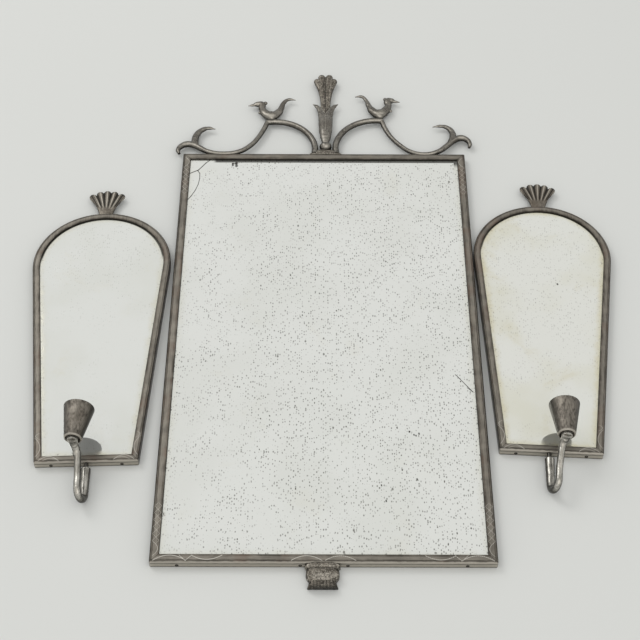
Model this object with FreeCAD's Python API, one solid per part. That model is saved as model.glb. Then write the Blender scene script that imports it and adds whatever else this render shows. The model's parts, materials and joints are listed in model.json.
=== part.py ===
import FreeCAD, Part
import math
import os

# Pewter girandole mirror: a tall wall mirror with a crest of scrolls, birds and a plume,
# and a pair of arched mirrors, each with a candle arm that swivels under its bottom rail.
# X runs to the right, Y into the wall, Z up. The wall is the plane y = 0 and the origin is
# the eye of the centre mirror's hanger. Lengths are millimetres, angles are degrees.

Vector = FreeCAD.Vector

# ---- frames -------------------------------------------------------------------------
frame_depth = 10.5
lip_thickness = 2.4
edge_chamfer = 1.2
inner_chamfer = 0.8
corner_round = 1.6

centre_width = 380.0
centre_height = 637.0
centre_face = 10.5
centre_rebate = 5.0

sconce_face = 9.0
sconce_rebate = 4.5
sconce_bottom_half = 51.4
sconce_taper = 5.22
sconce_arch_height = 296.4

# ---- glass, backboard and what holds them -------------------------------------------
glass_thickness = 3.0
glass_clearance = 0.6
board_thickness = 3.9
board_clearance = 0.5
pin_radius = 0.8
pin_hole_clearance = 0.04
pin_sink = 0.9
pin_bite = 5.0
centre_pin_xs = (-160.0, -25.5, 26.5, 157.0)
sconce_pin_x = 40.5
sconce_side_pin_drop = 14.0

# ---- hangers ------------------------------------------------------------------------
hanger_drop = 62.0
sconce_hanger_drop = 48.0
hanger_thickness = 1.2
hanger_half_width = 9.0
hanger_clip = 4.5
hanger_tail = 31.0
hanger_eye_radius = 4.0
hanger_slot_width = 3.4
hanger_slot_rise = 5.0
hanger_pocket_depth = 2.6
hanger_pocket_margin = 2.0
screw_drops = (14.0, 25.0)
screw_head_radius = 2.6
screw_shank_radius = 1.2
screw_length = 3.4
screw_hole_clearance = 0.05
screw_slot_width = 0.6
screw_slot_depth = 0.6

# ---- crest --------------------------------------------------------------------------
crest_x = 2.2
crest_set_back = 4.0
solder_land = 0.3
base_plate_half_width = 22.4
base_plate_top_half_width = 17.3
base_plate_height = 10.5
base_plate_thickness = 7.6
base_plate_shoulder_height = 6.5
base_plate_step = 1.2
base_plate_step_height = 2.2
ball_radius = 7.0
calyx_flat = 0.62
# Points are (x outwards, height above the frame, radius), or (height, radius) on the vase.
calyx_vase = [(22.6, 4.4), (26.0, 4.8), (31.0, 6.2), (37.0, 7.5), (50.0, 9.2), (65.0, 9.8), (80.0, 7.4)]
calyx_leaf = [(4.4, 68.0, 5.4), (5.2, 80.0, 5.1), (7.6, 90.0, 4.2), (11.8, 98.0, 3.0), (18.0, 103.2, 0.6)]
plume_inner_rib = [(1.8, 82.0, 2.6), (2.3, 105.0, 2.9), (3.2, 130.0, 3.9), (5.3, 158.6, 5.1)]
plume_outer_rib = [(4.2, 82.0, 2.2), (4.5, 105.0, 2.6), (6.2, 128.0, 3.7), (11.4, 150.2, 5.1)]
plume_flat = 0.7
arch_rod_radius = 3.8
arch_rod_root_radius = 4.4
horn_flat = 0.8
bird_flat = 0.75
# How many straight-sided bands each bent or turned form is made of.
arch_rod_bands = 9
scroll_bands = 16
horn_bands = 7
bird_bands = 13
calyx_bands = 5
plume_bands = 3
shell_bands = 2
arm_bands = 17
ball_bands = 6
bun_bands = 4
# How many corners each section has, on bars and on turned forms.
bar_corner_count = 10
turned_corner_count = 18
cup_corner_count = 28
screw_corner_count = 12
wire_corner_count = 8

# ---- shell on each sconce -----------------------------------------------------------
shell_ribs = 5
shell_height = 43.5
shell_half_width = 23.5
shell_droop = 6.0
shell_root_radius = 3.0
shell_tip_radius = 5.0
shell_flat = 0.62
shell_foot_thickness = 5.6
shell_foot_height = 4.0
shell_foot_half_width = 10.0
shell_root_depth = 3.0
shell_spread = 3.0
shell_knee_height = 17.0
shell_knee_radius = 3.9

# ---- pendant under the centre mirror ------------------------------------------------
pendant_x = -1.0
pendant_back_gap = 0.6
collar_half_width = 19.4
collar_height = 4.5
collar_overhang = 0.8
cushion_half_width = 18.6
cushion_height = 18.0
cushion_bulge = 3.4
foot_waist_half_width = 14.8
foot_half_width = 16.8
foot_height = 5.8
foot_waist_set_back = 1.0
foot_flare = 0.4
collar_chamfer = 1.0
pendant_steps = 14
cushion_bands = 6

# ---- candle arm ---------------------------------------------------------------------
neck_radius = 3.6
neck_height = 1.6
arm_forward = 0.6
arm_root_radius = 5.7
arm_end_radius = 4.0
arm_shoulder_round = 0.9
arm_bend_radius = 9.8
arm_taper_share = 0.6
arm_overlap = 2.0
arm_elbow_radius = 7.0
tongue_drop = 2.8
tongue_thickness = 2.4
tongue_half_width = 4.0
pad_radius = 6.4
pad_rise = 1.9
pivot_bore_radius = 1.75
pivot_running_clearance = 0.06
pivot_head_radius = 3.2
pivot_head_height = 1.5
pivot_bite = 9.0
pivot_sink = 0.1
pivot_recess = 0.6

# ---- candle cup ---------------------------------------------------------------------
cup_height = 43.0
cup_base_radius = 10.3
cup_rim_radius = 18.0
cup_wall = 1.6
cup_floor = 2.6
cup_recess_depth = 2.0
cup_foot_wall = 1.9
cup_base_round = 1.0
rivet_radius = 0.9
rivet_head_radius = 1.3
rivet_head_height = 0.9
rivet_circle = 4.8
rivet_angle = 40.0
rivet_hole_clearance = 0.04

# ---- what differs from one side to the other, as the pieces are bent by hand --------
# Points are (x outwards from the crest's centre line, height above the frame, radius).
# A sconce stands beside the centre frame, at a height above the centre frame's foot.
sides = {
    "left": {
        "out": -1,
        "arch_centre": (69.7, 11.2),
        "arch_radius": 55.5,
        "arch_over": 11.0,
        "scroll": [
            (80.0, 66.0, 3.6), (86.2, 48.5, 3.4), (93.0, 33.5, 3.3), (101.5, 20.5, 3.3),
            (117.0, 7.6, 3.3), (141.0, 3.2, 3.3), (160.0, 7.2, 3.5), (172.0, 14.8, 3.9),
            (181.5, 20.8, 4.2), (189.5, 21.6, 4.3), (196.8, 17.4, 3.8), (200.4, 10.4, 3.4),
            (198.4, 2.4, 2.4),
        ],
        "horn": [
            (177.5, 18.0, 5.2), (178.4, 30.0, 5.1), (176.2, 41.0, 4.6), (169.6, 50.0, 3.9),
            (160.8, 53.6, 2.7), (151.8, 51.8, 0.7),
        ],
        "bird": [
            (108.2, 99.2, 0.7), (101.5, 100.8, 2.2), (94.5, 102.6, 4.6), (89.5, 101.5, 5.6),
            (88.2, 93.5, 5.2), (84.0, 84.0, 6.6), (75.0, 79.0, 7.9), (66.5, 84.5, 6.0),
            (61.6, 95.0, 4.2), (58.3, 106.0, 3.2), (51.8, 112.6, 2.4), (42.0, 111.4, 1.0),
        ],
        "bun": (84.0, 104.8, 2.9),
        "breast": (91.2, 85.2, 2.4),
        "belly": (75.0, 76.0, 6.8),
        "sconce_stand": (81.8, 140.9),
        "lean": -1.96,
        "shell_shift": 0.0,
        "arm_offset": 0.1,
        "arm_turn": -16.1,
        "arm_drop": 52.7,
        "arm_lean": 4.6,
        "arm_reach": 40.8,
        "cup_base": -2.3,
        "cup_tilt": -6.4,
    },
    "right": {
        "out": 1,
        "arch_centre": (69.8, 13.4),
        "arch_radius": 56.3,
        "arch_over": 9.0,
        "scroll": [
            (77.6, 68.0, 3.5), (83.6, 49.4, 3.3), (91.4, 34.0, 3.1), (101.2, 21.0, 3.1),
            (115.5, 8.0, 3.1), (134.0, 3.0, 3.1), (151.5, 7.4, 3.5), (164.5, 18.4, 3.9),
            (175.5, 30.4, 4.2), (185.2, 35.4, 4.3), (193.0, 31.8, 3.8), (196.8, 23.6, 3.4),
            (195.4, 15.8, 2.4),
        ],
        "horn": [
            (171.5, 27.0, 5.0), (174.6, 38.0, 4.9), (173.2, 48.5, 4.2), (167.0, 56.4, 3.3),
            (158.8, 59.0, 2.4), (147.6, 57.2, 0.7),
        ],
        "bird": [
            (104.2, 107.6, 0.7), (97.8, 108.8, 2.2), (92.0, 110.6, 4.6), (87.6, 109.6, 5.6),
            (87.4, 100.5, 5.0), (83.4, 90.0, 6.6), (74.5, 83.4, 7.9), (65.8, 89.0, 6.0),
            (60.4, 100.0, 3.9), (56.6, 111.5, 2.8), (50.8, 119.0, 2.4), (41.2, 118.2, 1.0),
        ],
        "bun": (83.4, 113.2, 2.8),
        "breast": (90.8, 89.4, 2.2),
        "belly": (75.2, 79.4, 6.8),
        "sconce_stand": (72.2, 156.3),
        "lean": 3.17,
        "shell_shift": -2.0,
        "arm_offset": -2.3,
        "arm_turn": 21.3,
        "arm_drop": 53.8,
        "arm_lean": 8.6,
        "arm_reach": 41.9,
        "cup_base": -9.5,
        "cup_tilt": 1.5,
    },
}

# ---- planes worked out from the sizes above -----------------------------------------
front_y = -frame_depth
glass_front_y = front_y + lip_thickness
glass_back_y = glass_front_y + glass_thickness
board_back_y = glass_back_y + board_thickness
pin_y = glass_back_y + board_thickness / 2
crest_y = front_y + crest_set_back
arm_y = front_y + frame_depth / 2 - arm_forward
frame_bottom_z = hanger_drop - centre_height
pin_hole_radius = pin_radius + pin_hole_clearance


def export(name, *solids):
    """Write the solids of one sub-part to its own file."""
    shape = solids[0] if len(solids) == 1 else Part.makeCompound(list(solids))
    shape.exportStep("parts/" + name + ".step")


def fuse_all(shapes):
    """Join overlapping shapes into one solid without seams."""
    joined = shapes[0].multiFuse(shapes[1:])
    return joined.removeSplitter()


def prism(points, y_from, y_to):
    """Extrude a closed polygon of (x, z) points along Y."""
    corners = [Vector(x, y_from, z) for x, z in points]
    face = Part.Face(Part.makePolygon(corners + corners[:1]))
    return face.extrude(Vector(0, y_to - y_from, 0))


def wire_prism(wire, y_from, y_to):
    """Extrude a wire that lies in the plane y = 0 along Y."""
    face = Part.Face(wire)
    face.translate(Vector(0, y_from, 0))
    return face.extrude(Vector(0, y_to - y_from, 0))


def cylinder_between(start, end, radius):
    along = end - start
    return Part.makeCylinder(radius, along.Length, start, along)


# ---- outlines of the two kinds of frame ---------------------------------------------
# An outline is asked for by its offset from the sight edge: 0 is the sight edge of the
# glass, the rail's face width is the outer edge and the rebate's width is the glass seat.


def centre_corners(offset):
    half = centre_width / 2 - centre_face + offset
    low = frame_bottom_z + centre_face - offset
    high = hanger_drop - centre_face + offset
    return [(-half, low), (half, low), (half, high), (-half, high)]


def centre_wire(offset):
    corners = [Vector(x, 0, z) for x, z in centre_corners(offset)]
    return Part.makePolygon(corners + corners[:1])


def sconce_radius(offset):
    """Radius of the arch that the leaning sides run into without a corner."""
    tilt = math.radians(sconce_taper)
    spread = sconce_bottom_half + sconce_arch_height * math.tan(tilt)
    return spread * math.cos(tilt) + offset


def sconce_corners(offset):
    tilt = math.radians(sconce_taper)
    half = sconce_bottom_half + offset * (1 - math.sin(tilt)) / math.cos(tilt)
    return [(-half, -offset), (half, -offset)]


def sconce_wire(offset):
    tilt = math.radians(sconce_taper)
    radius = sconce_radius(offset)
    spring_x = radius * math.cos(tilt)
    spring_z = sconce_arch_height - radius * math.sin(tilt)
    left, right = [Vector(x, 0, z) for x, z in sconce_corners(offset)]
    spring_right = Vector(spring_x, 0, spring_z)
    spring_left = Vector(-spring_x, 0, spring_z)
    crown = Vector(0, 0, sconce_arch_height + radius)
    edges = [
        Part.makeLine(left, right),
        Part.makeLine(right, spring_right),
        Part.Arc(spring_right, crown, spring_left).toShape(),
        Part.makeLine(spring_left, left),
    ]
    return Part.Wire(edges)


def near_wire(edge, wire):
    middle = edge.valueAt((edge.FirstParameter + edge.LastParameter) / 2)
    return wire.distToShape(Part.Vertex(Vector(middle.x, 0, middle.z)))[0] < 0.01


def in_plane_y(edge, y):
    box = edge.BoundBox
    return abs(box.YMin - y) < 0.001 and abs(box.YMax - y) < 0.001


def frame_ring(wire_of, corners_of, face, rebate):
    """The whole frame as one ring: eased face edges, sight opening and rebate."""
    outer = wire_prism(wire_of(face), front_y, 0)
    arrises = []
    for x, z in corners_of(face):
        for edge in outer.Edges:
            box = edge.BoundBox
            if abs(box.XMin - x) < 0.01 and abs(box.ZMin - z) < 0.01 and box.XLength < 0.01:
                if box.ZLength < 0.01:
                    arrises.append(edge)
    outer = outer.makeFillet(corner_round, arrises)
    outer = outer.makeChamfer(edge_chamfer, [e for e in outer.Edges if in_plane_y(e, front_y)])
    ring = outer.cut(wire_prism(wire_of(0), front_y - 1, 1))
    ring = ring.cut(wire_prism(wire_of(rebate), glass_front_y, 1))
    sight = wire_of(0)
    sight_edges = [e for e in ring.Edges if in_plane_y(e, front_y) and near_wire(e, sight)]
    return ring.makeChamfer(inner_chamfer, sight_edges)


def mitre_block(corners_of, face, first, second, y_margin=1.0):
    """A block whose ends lie on the mitres at two neighbouring corners."""
    beyond = 6.0
    inner = corners_of(-beyond)
    outer = corners_of(face + beyond)
    points = [inner[first], inner[second], outer[second], outer[first]]
    return prism(points, front_y - y_margin, y_margin)


# ---- pins that hold each backboard --------------------------------------------------


def pin_line(outer_point, inward, wall):
    """Start, end and hole ends of one pin driven square to the rail's outer face."""
    start = outer_point + inward * pin_sink
    end = outer_point + inward * (wall + board_clearance + pin_bite)
    return start, end


def drawn_wire(start, end, radius):
    """Length of wire between two points, with flats along it."""
    across = Vector(0, 1, 0)
    thick = (end - start).normalize().cross(across)
    return skin([ring_of(point, across, thick, radius, corners=wire_corner_count)
                 for point in (start, end)])


def pin_solid(outer_point, inward, wall):
    start, end = pin_line(outer_point, inward, wall)
    return drawn_wire(start, end, pin_radius)


def pin_hole(outer_point, inward, wall):
    end = pin_line(outer_point, inward, wall)[1]
    return drawn_wire(outer_point - inward, end, pin_hole_radius)


# ---- hanger plate, its screws and its pocket ----------------------------------------


def hanger_outline(eye_z):
    """Corners of a strap with a clipped top about the eye and a square tail."""
    half = hanger_half_width
    top = eye_z + half
    tail = eye_z - hanger_tail
    return [(-half, tail), (half, tail), (half, top - hanger_clip), (half - hanger_clip, top),
            (hanger_clip - half, top), (-half, top - hanger_clip)]


def keyhole(eye_z, radius, slot_width, y_from, y_to):
    """Round eye with a slot above it that a nail's shank slides up into."""
    eye = cylinder_between(Vector(0, y_from, eye_z), Vector(0, y_to, eye_z), radius)
    slot_top = eye_z + hanger_slot_rise
    end = cylinder_between(Vector(0, y_from, slot_top), Vector(0, y_to, slot_top), slot_width / 2)
    half = slot_width / 2
    slot = prism([(-half, eye_z), (half, eye_z), (half, slot_top), (-half, slot_top)], y_from, y_to)
    return fuse_all([eye, end, slot])


def screw_body(z, clearance):
    """Countersunk screw, or its hole when a clearance is given, pointing away from the wall."""
    shank = screw_shank_radius + clearance
    head = screw_head_radius + clearance
    length = hanger_thickness + screw_length + clearance
    profile = [(head, 0), (shank, -hanger_thickness), (shank, shank - length), (shank * 0.2, -length)]
    body = turned(Vector(0, 0, 0), profile, screw_corner_count)
    back = Vector(0, board_back_y + hanger_thickness, z)
    body.Placement = FreeCAD.Placement(back, FreeCAD.Rotation(Vector(0, 0, 1), Vector(0, 1, 0)))
    return body


def hanger_plate(eye_z):
    plate = prism(hanger_outline(eye_z), board_back_y, board_back_y + hanger_thickness)
    plate = plate.cut(
        keyhole(eye_z, hanger_eye_radius, hanger_slot_width, board_back_y - 1, 1)
    )
    for drop in screw_drops:
        plate = plate.cut(screw_body(eye_z - drop, screw_hole_clearance))
    return plate


def hanger_screws(eye_z):
    screws = []
    slot_bottom = board_back_y + hanger_thickness - screw_slot_depth
    for drop in screw_drops:
        z = eye_z - drop
        half = screw_slot_width / 2
        wide = screw_head_radius + 1
        slot = prism([(-wide, z - half), (wide, z - half), (wide, z + half), (-wide, z + half)],
                     slot_bottom, 1)
        screws.append(screw_body(z, 0).cut(slot))
    return screws


def backboard(wire_of, rebate, eye_z, holes):
    board = wire_prism(wire_of(rebate - board_clearance), glass_back_y, board_back_y)
    pocket = keyhole(
        eye_z,
        hanger_eye_radius + hanger_pocket_margin,
        2 * (hanger_eye_radius + hanger_pocket_margin),
        board_back_y - hanger_pocket_depth,
        1,
    )
    board = board.cut(pocket)
    for drop in screw_drops:
        board = board.cut(screw_body(eye_z - drop, screw_hole_clearance))
    for hole in holes:
        board = board.cut(hole)
    return board


def mirror_glass(wire_of, rebate):
    return wire_prism(wire_of(rebate - glass_clearance), glass_front_y, glass_back_y)


# ---- bent, tapered and turned forms, built from rings of corners -----------------------


def ring_of(centre, across, thick, radius, flat=1.0, corners=bar_corner_count):
    """Corners on an ellipse whose half-axes are the radius and the radius times flat."""
    ring = []
    for corner in range(corners):
        angle = 2 * math.pi * (corner + 0.5) / corners
        ring.append(centre + across * (radius * math.cos(angle)) +
                    thick * (radius * flat * math.sin(angle)))
    return ring


def skin(rings):
    """Solid whose sides run straight from each ring of corners to the next."""
    faces = []
    for ring in (rings[0], rings[-1]):
        faces.append(Part.Face(Part.makePolygon(ring + ring[:1])))
    for low, high in zip(rings, rings[1:]):
        for index in range(len(low)):
            a, b = low[index - 1], low[index]
            c, d = high[index], high[index - 1]
            faces.append(Part.Face(Part.makePolygon([a, b, c, a])))
            faces.append(Part.Face(Part.makePolygon([a, c, d, a])))
    solid = Part.makeSolid(Part.makeShell(faces))
    if solid.Volume < 0:
        solid.reverse()
    return solid


def turned(centre, profile, corners=turned_corner_count):
    """Turned form about an upright axis, from (radius, height) points."""
    rings = []
    for radius, height in profile:
        rings.append(ring_of(centre + Vector(0, 0, height), Vector(1, 0, 0), Vector(0, 1, 0),
                             radius, corners=corners))
    return skin(rings)


def radius_along(stations, lengths, run):
    """Radius at a run along the bar, between the stations on either side."""
    for index in range(len(stations) - 1):
        if run <= lengths[index + 1]:
            share = (run - lengths[index]) / (lengths[index + 1] - lengths[index])
            return stations[index][3] + (stations[index + 1][3] - stations[index][3]) * share
    return stations[-1][3]


def bent_bar(stations, side, bands, flat=1.0, round_end=0.0, directions=None):
    """Bar along a smooth curve in a plane, given (x, y, z, radius) stations.

    side is square to the plane of the bend, bands is how many straight lengths make it up,
    round_end rounds its far end off and directions are those of its two ends, if known."""
    centres = [Vector(x, y, z) for x, y, z, radius in stations]
    curve = Part.BSplineCurve()
    if directions:
        curve.interpolate(Points=centres, InitialTangent=directions[0], FinalTangent=directions[1])
    else:
        curve.interpolate(centres)
    first = curve.FirstParameter
    lengths = [curve.length(first, curve.parameter(centre)) for centre in centres]
    lengths[0] = 0.0
    rings = []
    for band in range(bands + 1):
        run = lengths[-1] * band / bands
        parameter = curve.parameterAtDistance(run, first)
        along = curve.tangent(parameter)[0]
        along.normalize()
        across = side.cross(along)
        radius = radius_along(stations, lengths, run)
        rings.append(ring_of(curve.value(parameter), across, side, radius, flat))
    if round_end:
        end = centres[-1]
        for angle in (35, 72):
            turn = math.radians(angle)
            centre = end + along * (radius * round_end * math.sin(turn))
            rings.append(ring_of(centre, across, side, radius * math.cos(turn), flat))
    return skin(rings)


def crest_stations(side, points):
    """Turn a side's points into places in the crest's plane."""
    out = sides[side]["out"]
    return [(crest_x + out * x, crest_y, hanger_drop + z, radius) for x, z, radius in points]


def crest_block(low, high):
    """A block as wide as the centre frame between two heights above it."""
    return Part.makeBox(centre_width, 4 * frame_depth, high - low,
                        Vector(-centre_width / 2, crest_y - 2 * frame_depth, hanger_drop + low))


# ---- crest --------------------------------------------------------------------------


def arch_rod(side):
    """Quarter hoop from the base plate up and over to the bird's perch."""
    data = sides[side]
    centre_x, centre_z = data["arch_centre"]
    radius = data["arch_radius"]
    start = -math.degrees(math.asin(min(1.0, centre_z / radius)))
    stations = []
    steps = 6
    for step in range(steps + 1):
        angle = math.radians(start + (90 + data["arch_over"] - start) * step / steps)
        share = step / steps
        bar = arch_rod_root_radius + (arch_rod_radius - arch_rod_root_radius) * share
        stations.append((centre_x - radius * math.cos(angle),
                         centre_z + radius * math.sin(angle), bar))
    rod = bent_bar(crest_stations(side, stations), Vector(0, 1, 0), arch_rod_bands)
    return rod.cut(crest_block(-data["arch_radius"], base_plate_height))


def scroll(side, rod):
    """Swept rod from the perch down on to the frame and up into the hooked tail."""
    bar = bent_bar(crest_stations(side, sides[side]["scroll"]), Vector(0, 1, 0), scroll_bands)
    bar = bar.cut(rod).cut(crest_block(-centre_face, 0))
    return max(bar.Solids, key=lambda solid: solid.Volume)


def horn(side, bar):
    leaf = bent_bar(crest_stations(side, sides[side]["horn"]), Vector(0, 1, 0), horn_bands, horn_flat)
    leaf = leaf.cut(bar)
    return max(leaf.Solids, key=lambda solid: solid.Volume)


def bird(side, rod, bar):
    """Crested bird: beak, head with a bun, breast, belly and a tail that curls away."""
    data = sides[side]
    body = bent_bar(crest_stations(side, data["bird"]), Vector(0, 1, 0), bird_bands, bird_flat)
    shapes = [body]
    for x, z, radius in (data["bun"], data["breast"], data["belly"]):
        place = Vector(crest_x + data["out"] * x, crest_y, hanger_drop + z)
        shapes.append(turned(place, ball_profile(radius, bun_bands), bar_corner_count))
    whole = fuse_all(shapes).cut(rod).cut(bar)
    return max(whole.Solids, key=lambda solid: solid.Volume)


def base_plate():
    """Stepped foot of the crest, soldered to the top rail."""
    low = base_plate_half_width
    high = base_plate_top_half_width
    outline = [(low, 0), (low - base_plate_step, base_plate_step_height),
               (high, base_plate_shoulder_height), (high / 2, base_plate_height)]
    points = outline + [(-x, z) for x, z in reversed(outline)]
    placed = [(crest_x + x, hanger_drop + z) for x, z in points]
    half = base_plate_thickness / 2
    return prism(placed, crest_y - half, crest_y + half)


def ball_profile(radius, bands):
    """(radius, height) points of a ball, a little flat at its poles."""
    points = []
    for band in range(bands + 1):
        turn = math.radians(-80 + 160 * band / bands)
        points.append((radius * math.cos(turn), radius * math.sin(turn)))
    return points


def ball():
    centre = Vector(crest_x, crest_y, hanger_drop + base_plate_height + ball_radius - solder_land)
    return turned(centre, ball_profile(ball_radius, ball_bands))


def calyx():
    """Slim vase of the plume with two leaves that part and curl outwards."""
    vase_at = [(crest_x, crest_y, hanger_drop + z, radius) for z, radius in calyx_vase]
    vase = bent_bar(vase_at, Vector(0, 1, 0), calyx_bands, calyx_flat)
    shapes = [vase]
    for side in sides:
        leaf = crest_stations(side, calyx_leaf)
        shapes.append(bent_bar(leaf, Vector(0, 1, 0), calyx_bands, calyx_flat))
    return fuse_all(shapes)


def plume(calyx_solid):
    """Fan of four ribs, two high in the middle and two lower at the sides."""
    ribs = []
    for side in sides:
        for points in (plume_inner_rib, plume_outer_rib):
            stations = crest_stations(side, points)
            ribs.append(bent_bar(stations, Vector(0, 1, 0), plume_bands, plume_flat, 1.0))
    fan = fuse_all(ribs).cut(calyx_solid)
    return max(fan.Solids, key=lambda solid: solid.Volume)


# ---- pendant under the centre mirror ------------------------------------------------


def pendant_ring(half, front, z):
    """Plan of the cushion at one height: flat back, rounded sides and front."""
    back = -pendant_back_gap
    depth = back - front
    ring = [Vector(pendant_x - half, back, z)]
    for step in range(1, pendant_steps):
        turn = math.pi * step / pendant_steps
        swell = math.sin(turn) ** 0.5
        ring.append(Vector(pendant_x - half * math.cos(turn) * cushion_fullness(turn),
                           back - depth * swell, z))
    ring.append(Vector(pendant_x + half, back, z))
    return ring


def cushion_fullness(turn):
    """Holds the plan near its full width round the corners."""
    return 1 + 0.06 * math.sin(2 * turn) ** 2


def pendant():
    """Collar, bulging cushion and flared foot that hang under the bottom rail."""
    top = frame_bottom_z
    collar = Part.makeBox(2 * collar_half_width, frame_depth + collar_overhang - pendant_back_gap,
                          collar_height,
                          Vector(pendant_x - collar_half_width, front_y - collar_overhang,
                                 top - collar_height))
    front_edges = [e for e in collar.Edges if e.BoundBox.YMax < front_y]
    collar = collar.makeChamfer(collar_chamfer, front_edges)
    waist_front = front_y + foot_waist_set_back
    rings = []
    for band in range(cushion_bands + 1):
        share = band / cushion_bands
        bulge = math.sin(math.pi * share)
        half = foot_waist_half_width + (cushion_half_width - foot_waist_half_width) * bulge
        front = waist_front - cushion_bulge * bulge
        rings.append(pendant_ring(half, front, top - collar_height - cushion_height * share))
    foot_top = top - collar_height - cushion_height
    foot_low = foot_top - foot_height
    foot_middle = foot_top - foot_height / 2
    foot = skin([pendant_ring(foot_waist_half_width, waist_front, foot_top + solder_land),
                 pendant_ring(foot_waist_half_width + foot_flare, waist_front, foot_middle),
                 pendant_ring(foot_half_width, front_y, foot_low)])
    return fuse_all([collar, skin(rings), foot])


# ---- sconce pieces, in their own frame: origin at the middle of the sight edge's foot ---


def shell(shift):
    """Fluted fan of ribs on a plain foot that stands on the arch."""
    crown = sconce_arch_height + sconce_radius(sconce_face)
    ribs = []
    for index in range(shell_ribs):
        share = 2 * index / (shell_ribs - 1) - 1
        height = shell_height - shell_tip_radius - shell_droop * share ** 2
        middle_x = shift + share * (shell_foot_half_width - shell_root_radius)
        stations = [
            (shift + share * shell_foot_half_width / 2, crest_y, crown - shell_root_depth,
             shell_root_radius),
            (middle_x + share * shell_spread, crest_y, crown + shell_knee_height,
             shell_knee_radius),
            (shift + share * (shell_half_width - shell_tip_radius), crest_y, crown + height,
             shell_tip_radius),
        ]
        ribs.append(bent_bar(stations, Vector(0, 1, 0), shell_bands, shell_flat, 1.0))
    foot_low = crown - 2 * shell_root_depth
    half = shell_foot_half_width
    foot_high = crown + shell_foot_height
    foot = prism([(shift - half, foot_low), (shift + half, foot_low),
                  (shift + half, foot_high), (shift - half, foot_high)],
                 crest_y - shell_foot_thickness / 2, crest_y + shell_foot_thickness / 2)
    arch = cylinder_between(Vector(0, 2 * front_y, sconce_arch_height),
                            Vector(0, frame_depth, sconce_arch_height),
                            sconce_radius(sconce_face))
    fan = fuse_all(ribs + [foot]).cut(arch)
    return max(fan.Solids, key=lambda solid: solid.Volume)


def arm_path(data):
    """Stations of the bent arm in its own plane, (forward, height), up to its tongue."""
    top = -sconce_face - neck_height
    bend_z = -sconce_face - data["arm_drop"] + arm_bend_radius
    front = 2 * arm_bend_radius
    end_z = data["cup_base"] - tongue_drop
    elbow_z = end_z - arm_elbow_radius
    points = [(0.0, top), (0.0, (2 * top + bend_z) / 3), (0.0, (top + 2 * bend_z) / 3)]
    for angle in (0, 45, 90, 135, 180):
        turn = math.radians(angle)
        points.append((arm_bend_radius * (1 - math.cos(turn)), bend_z - arm_bend_radius * math.sin(turn)))
    points.append((front + data["arm_lean"] * 0.2, (2 * bend_z + elbow_z) / 3))
    points.append((front + data["arm_lean"] * 0.6, (bend_z + 2 * elbow_z) / 3))
    for angle in (0, 45, 90):
        turn = math.radians(angle)
        points.append((front + data["arm_lean"] + arm_elbow_radius * (1 - math.cos(turn)),
                       elbow_z + arm_elbow_radius * math.sin(turn)))
    return points


def cup_axis(data):
    """Direction of the tilted cup, which leans to the side of its arm."""
    tilt = math.radians(data["cup_tilt"])
    return Vector(-math.sin(tilt), 0, math.cos(tilt))


def cup_place(data):
    """Placement of the cup, its rivets and the arm's pad: origin at the cup's foot."""
    foot = Vector(0, -data["arm_reach"], data["cup_base"])
    return FreeCAD.Placement(foot, FreeCAD.Rotation(Vector(0, 0, 1), cup_axis(data)))


def candle_arm(data):
    """Round rod that bends down, up and forward, with a flat tongue riveted under the cup."""
    path = arm_path(data)
    lengths = [0.0]
    for here, there in zip(path, path[1:]):
        lengths.append(lengths[-1] + math.dist(here, there))
    stations = [(0, 0, path[0][1], arm_root_radius - arm_shoulder_round),
                (0, 0, path[0][1] - arm_shoulder_round, arm_root_radius)]
    for (forward, z), run in zip(path[1:], lengths[1:]):
        share = max(0, 1 - run / lengths[-1] / arm_taper_share)
        radius = arm_end_radius + (arm_root_radius - arm_end_radius) * share
        stations.append((0, -forward, z, radius))
    directions = (Vector(0, 0, -1), Vector(0, -1, 0))
    rod = bent_bar(stations, Vector(1, 0, 0), arm_bands, directions=directions)
    shoulder_z = -sconce_face - neck_height
    neck = turned(Vector(0, 0, shoulder_z), [(neck_radius, -arm_overlap), (neck_radius, neck_height)],
                  screw_corner_count)

    tongue_back = data["arm_reach"] - path[-1][0] + arm_overlap / 2
    plan = [(-tongue_half_width, tongue_back), (tongue_half_width, tongue_back),
            (pad_radius, 0), (-pad_radius, 0)]
    corners = [Vector(x, y, -tongue_thickness) for x, y in plan]
    tongue = Part.Face(Part.makePolygon(corners + corners[:1])).extrude(Vector(0, 0, tongue_thickness))
    pad = turned(Vector(0, 0, 0), [(pad_radius, -tongue_thickness), (pad_radius, pad_rise)],
                 turned_corner_count)
    end = tongue.fuse(pad)
    for rivet in rivet_places():
        end = end.cut(rivet_hole(rivet))
    end.Placement = cup_place(data)
    arm = rod.fuse(neck).fuse(end)
    bore = turned(Vector(0, 0, -sconce_face), [(pivot_bore_radius, -pivot_bite),
                                               (pivot_bore_radius, neck_height)], screw_corner_count)
    return arm.cut(bore)


def pivot_screw():
    """Screw that turns with the arm: its head runs in the bottom rail's countersink."""
    top = -sconce_rebate - pivot_sink
    profile = [(pivot_head_radius, top), (pivot_bore_radius, top - pivot_head_height),
               (pivot_bore_radius, pivot_sink - sconce_face - pivot_bite)]
    return turned(Vector(0, 0, 0), profile, screw_corner_count)


def pivot_hole():
    """Running hole and countersink through the bottom rail."""
    top = -sconce_rebate + pivot_recess
    seat = -sconce_rebate - pivot_sink
    below = -sconce_face - neck_height
    shank = pivot_bore_radius + pivot_running_clearance
    head = pivot_head_radius + pivot_running_clearance
    profile = [Vector(0, 0, top), Vector(head, 0, top), Vector(head, 0, seat),
               Vector(shank, 0, seat - pivot_head_height), Vector(shank, 0, below),
               Vector(0, 0, below)]
    face = Part.Face(Part.makePolygon(profile + profile[:1]))
    return face.revolve(Vector(0, 0, 0), Vector(0, 0, 1), 360)


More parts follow.
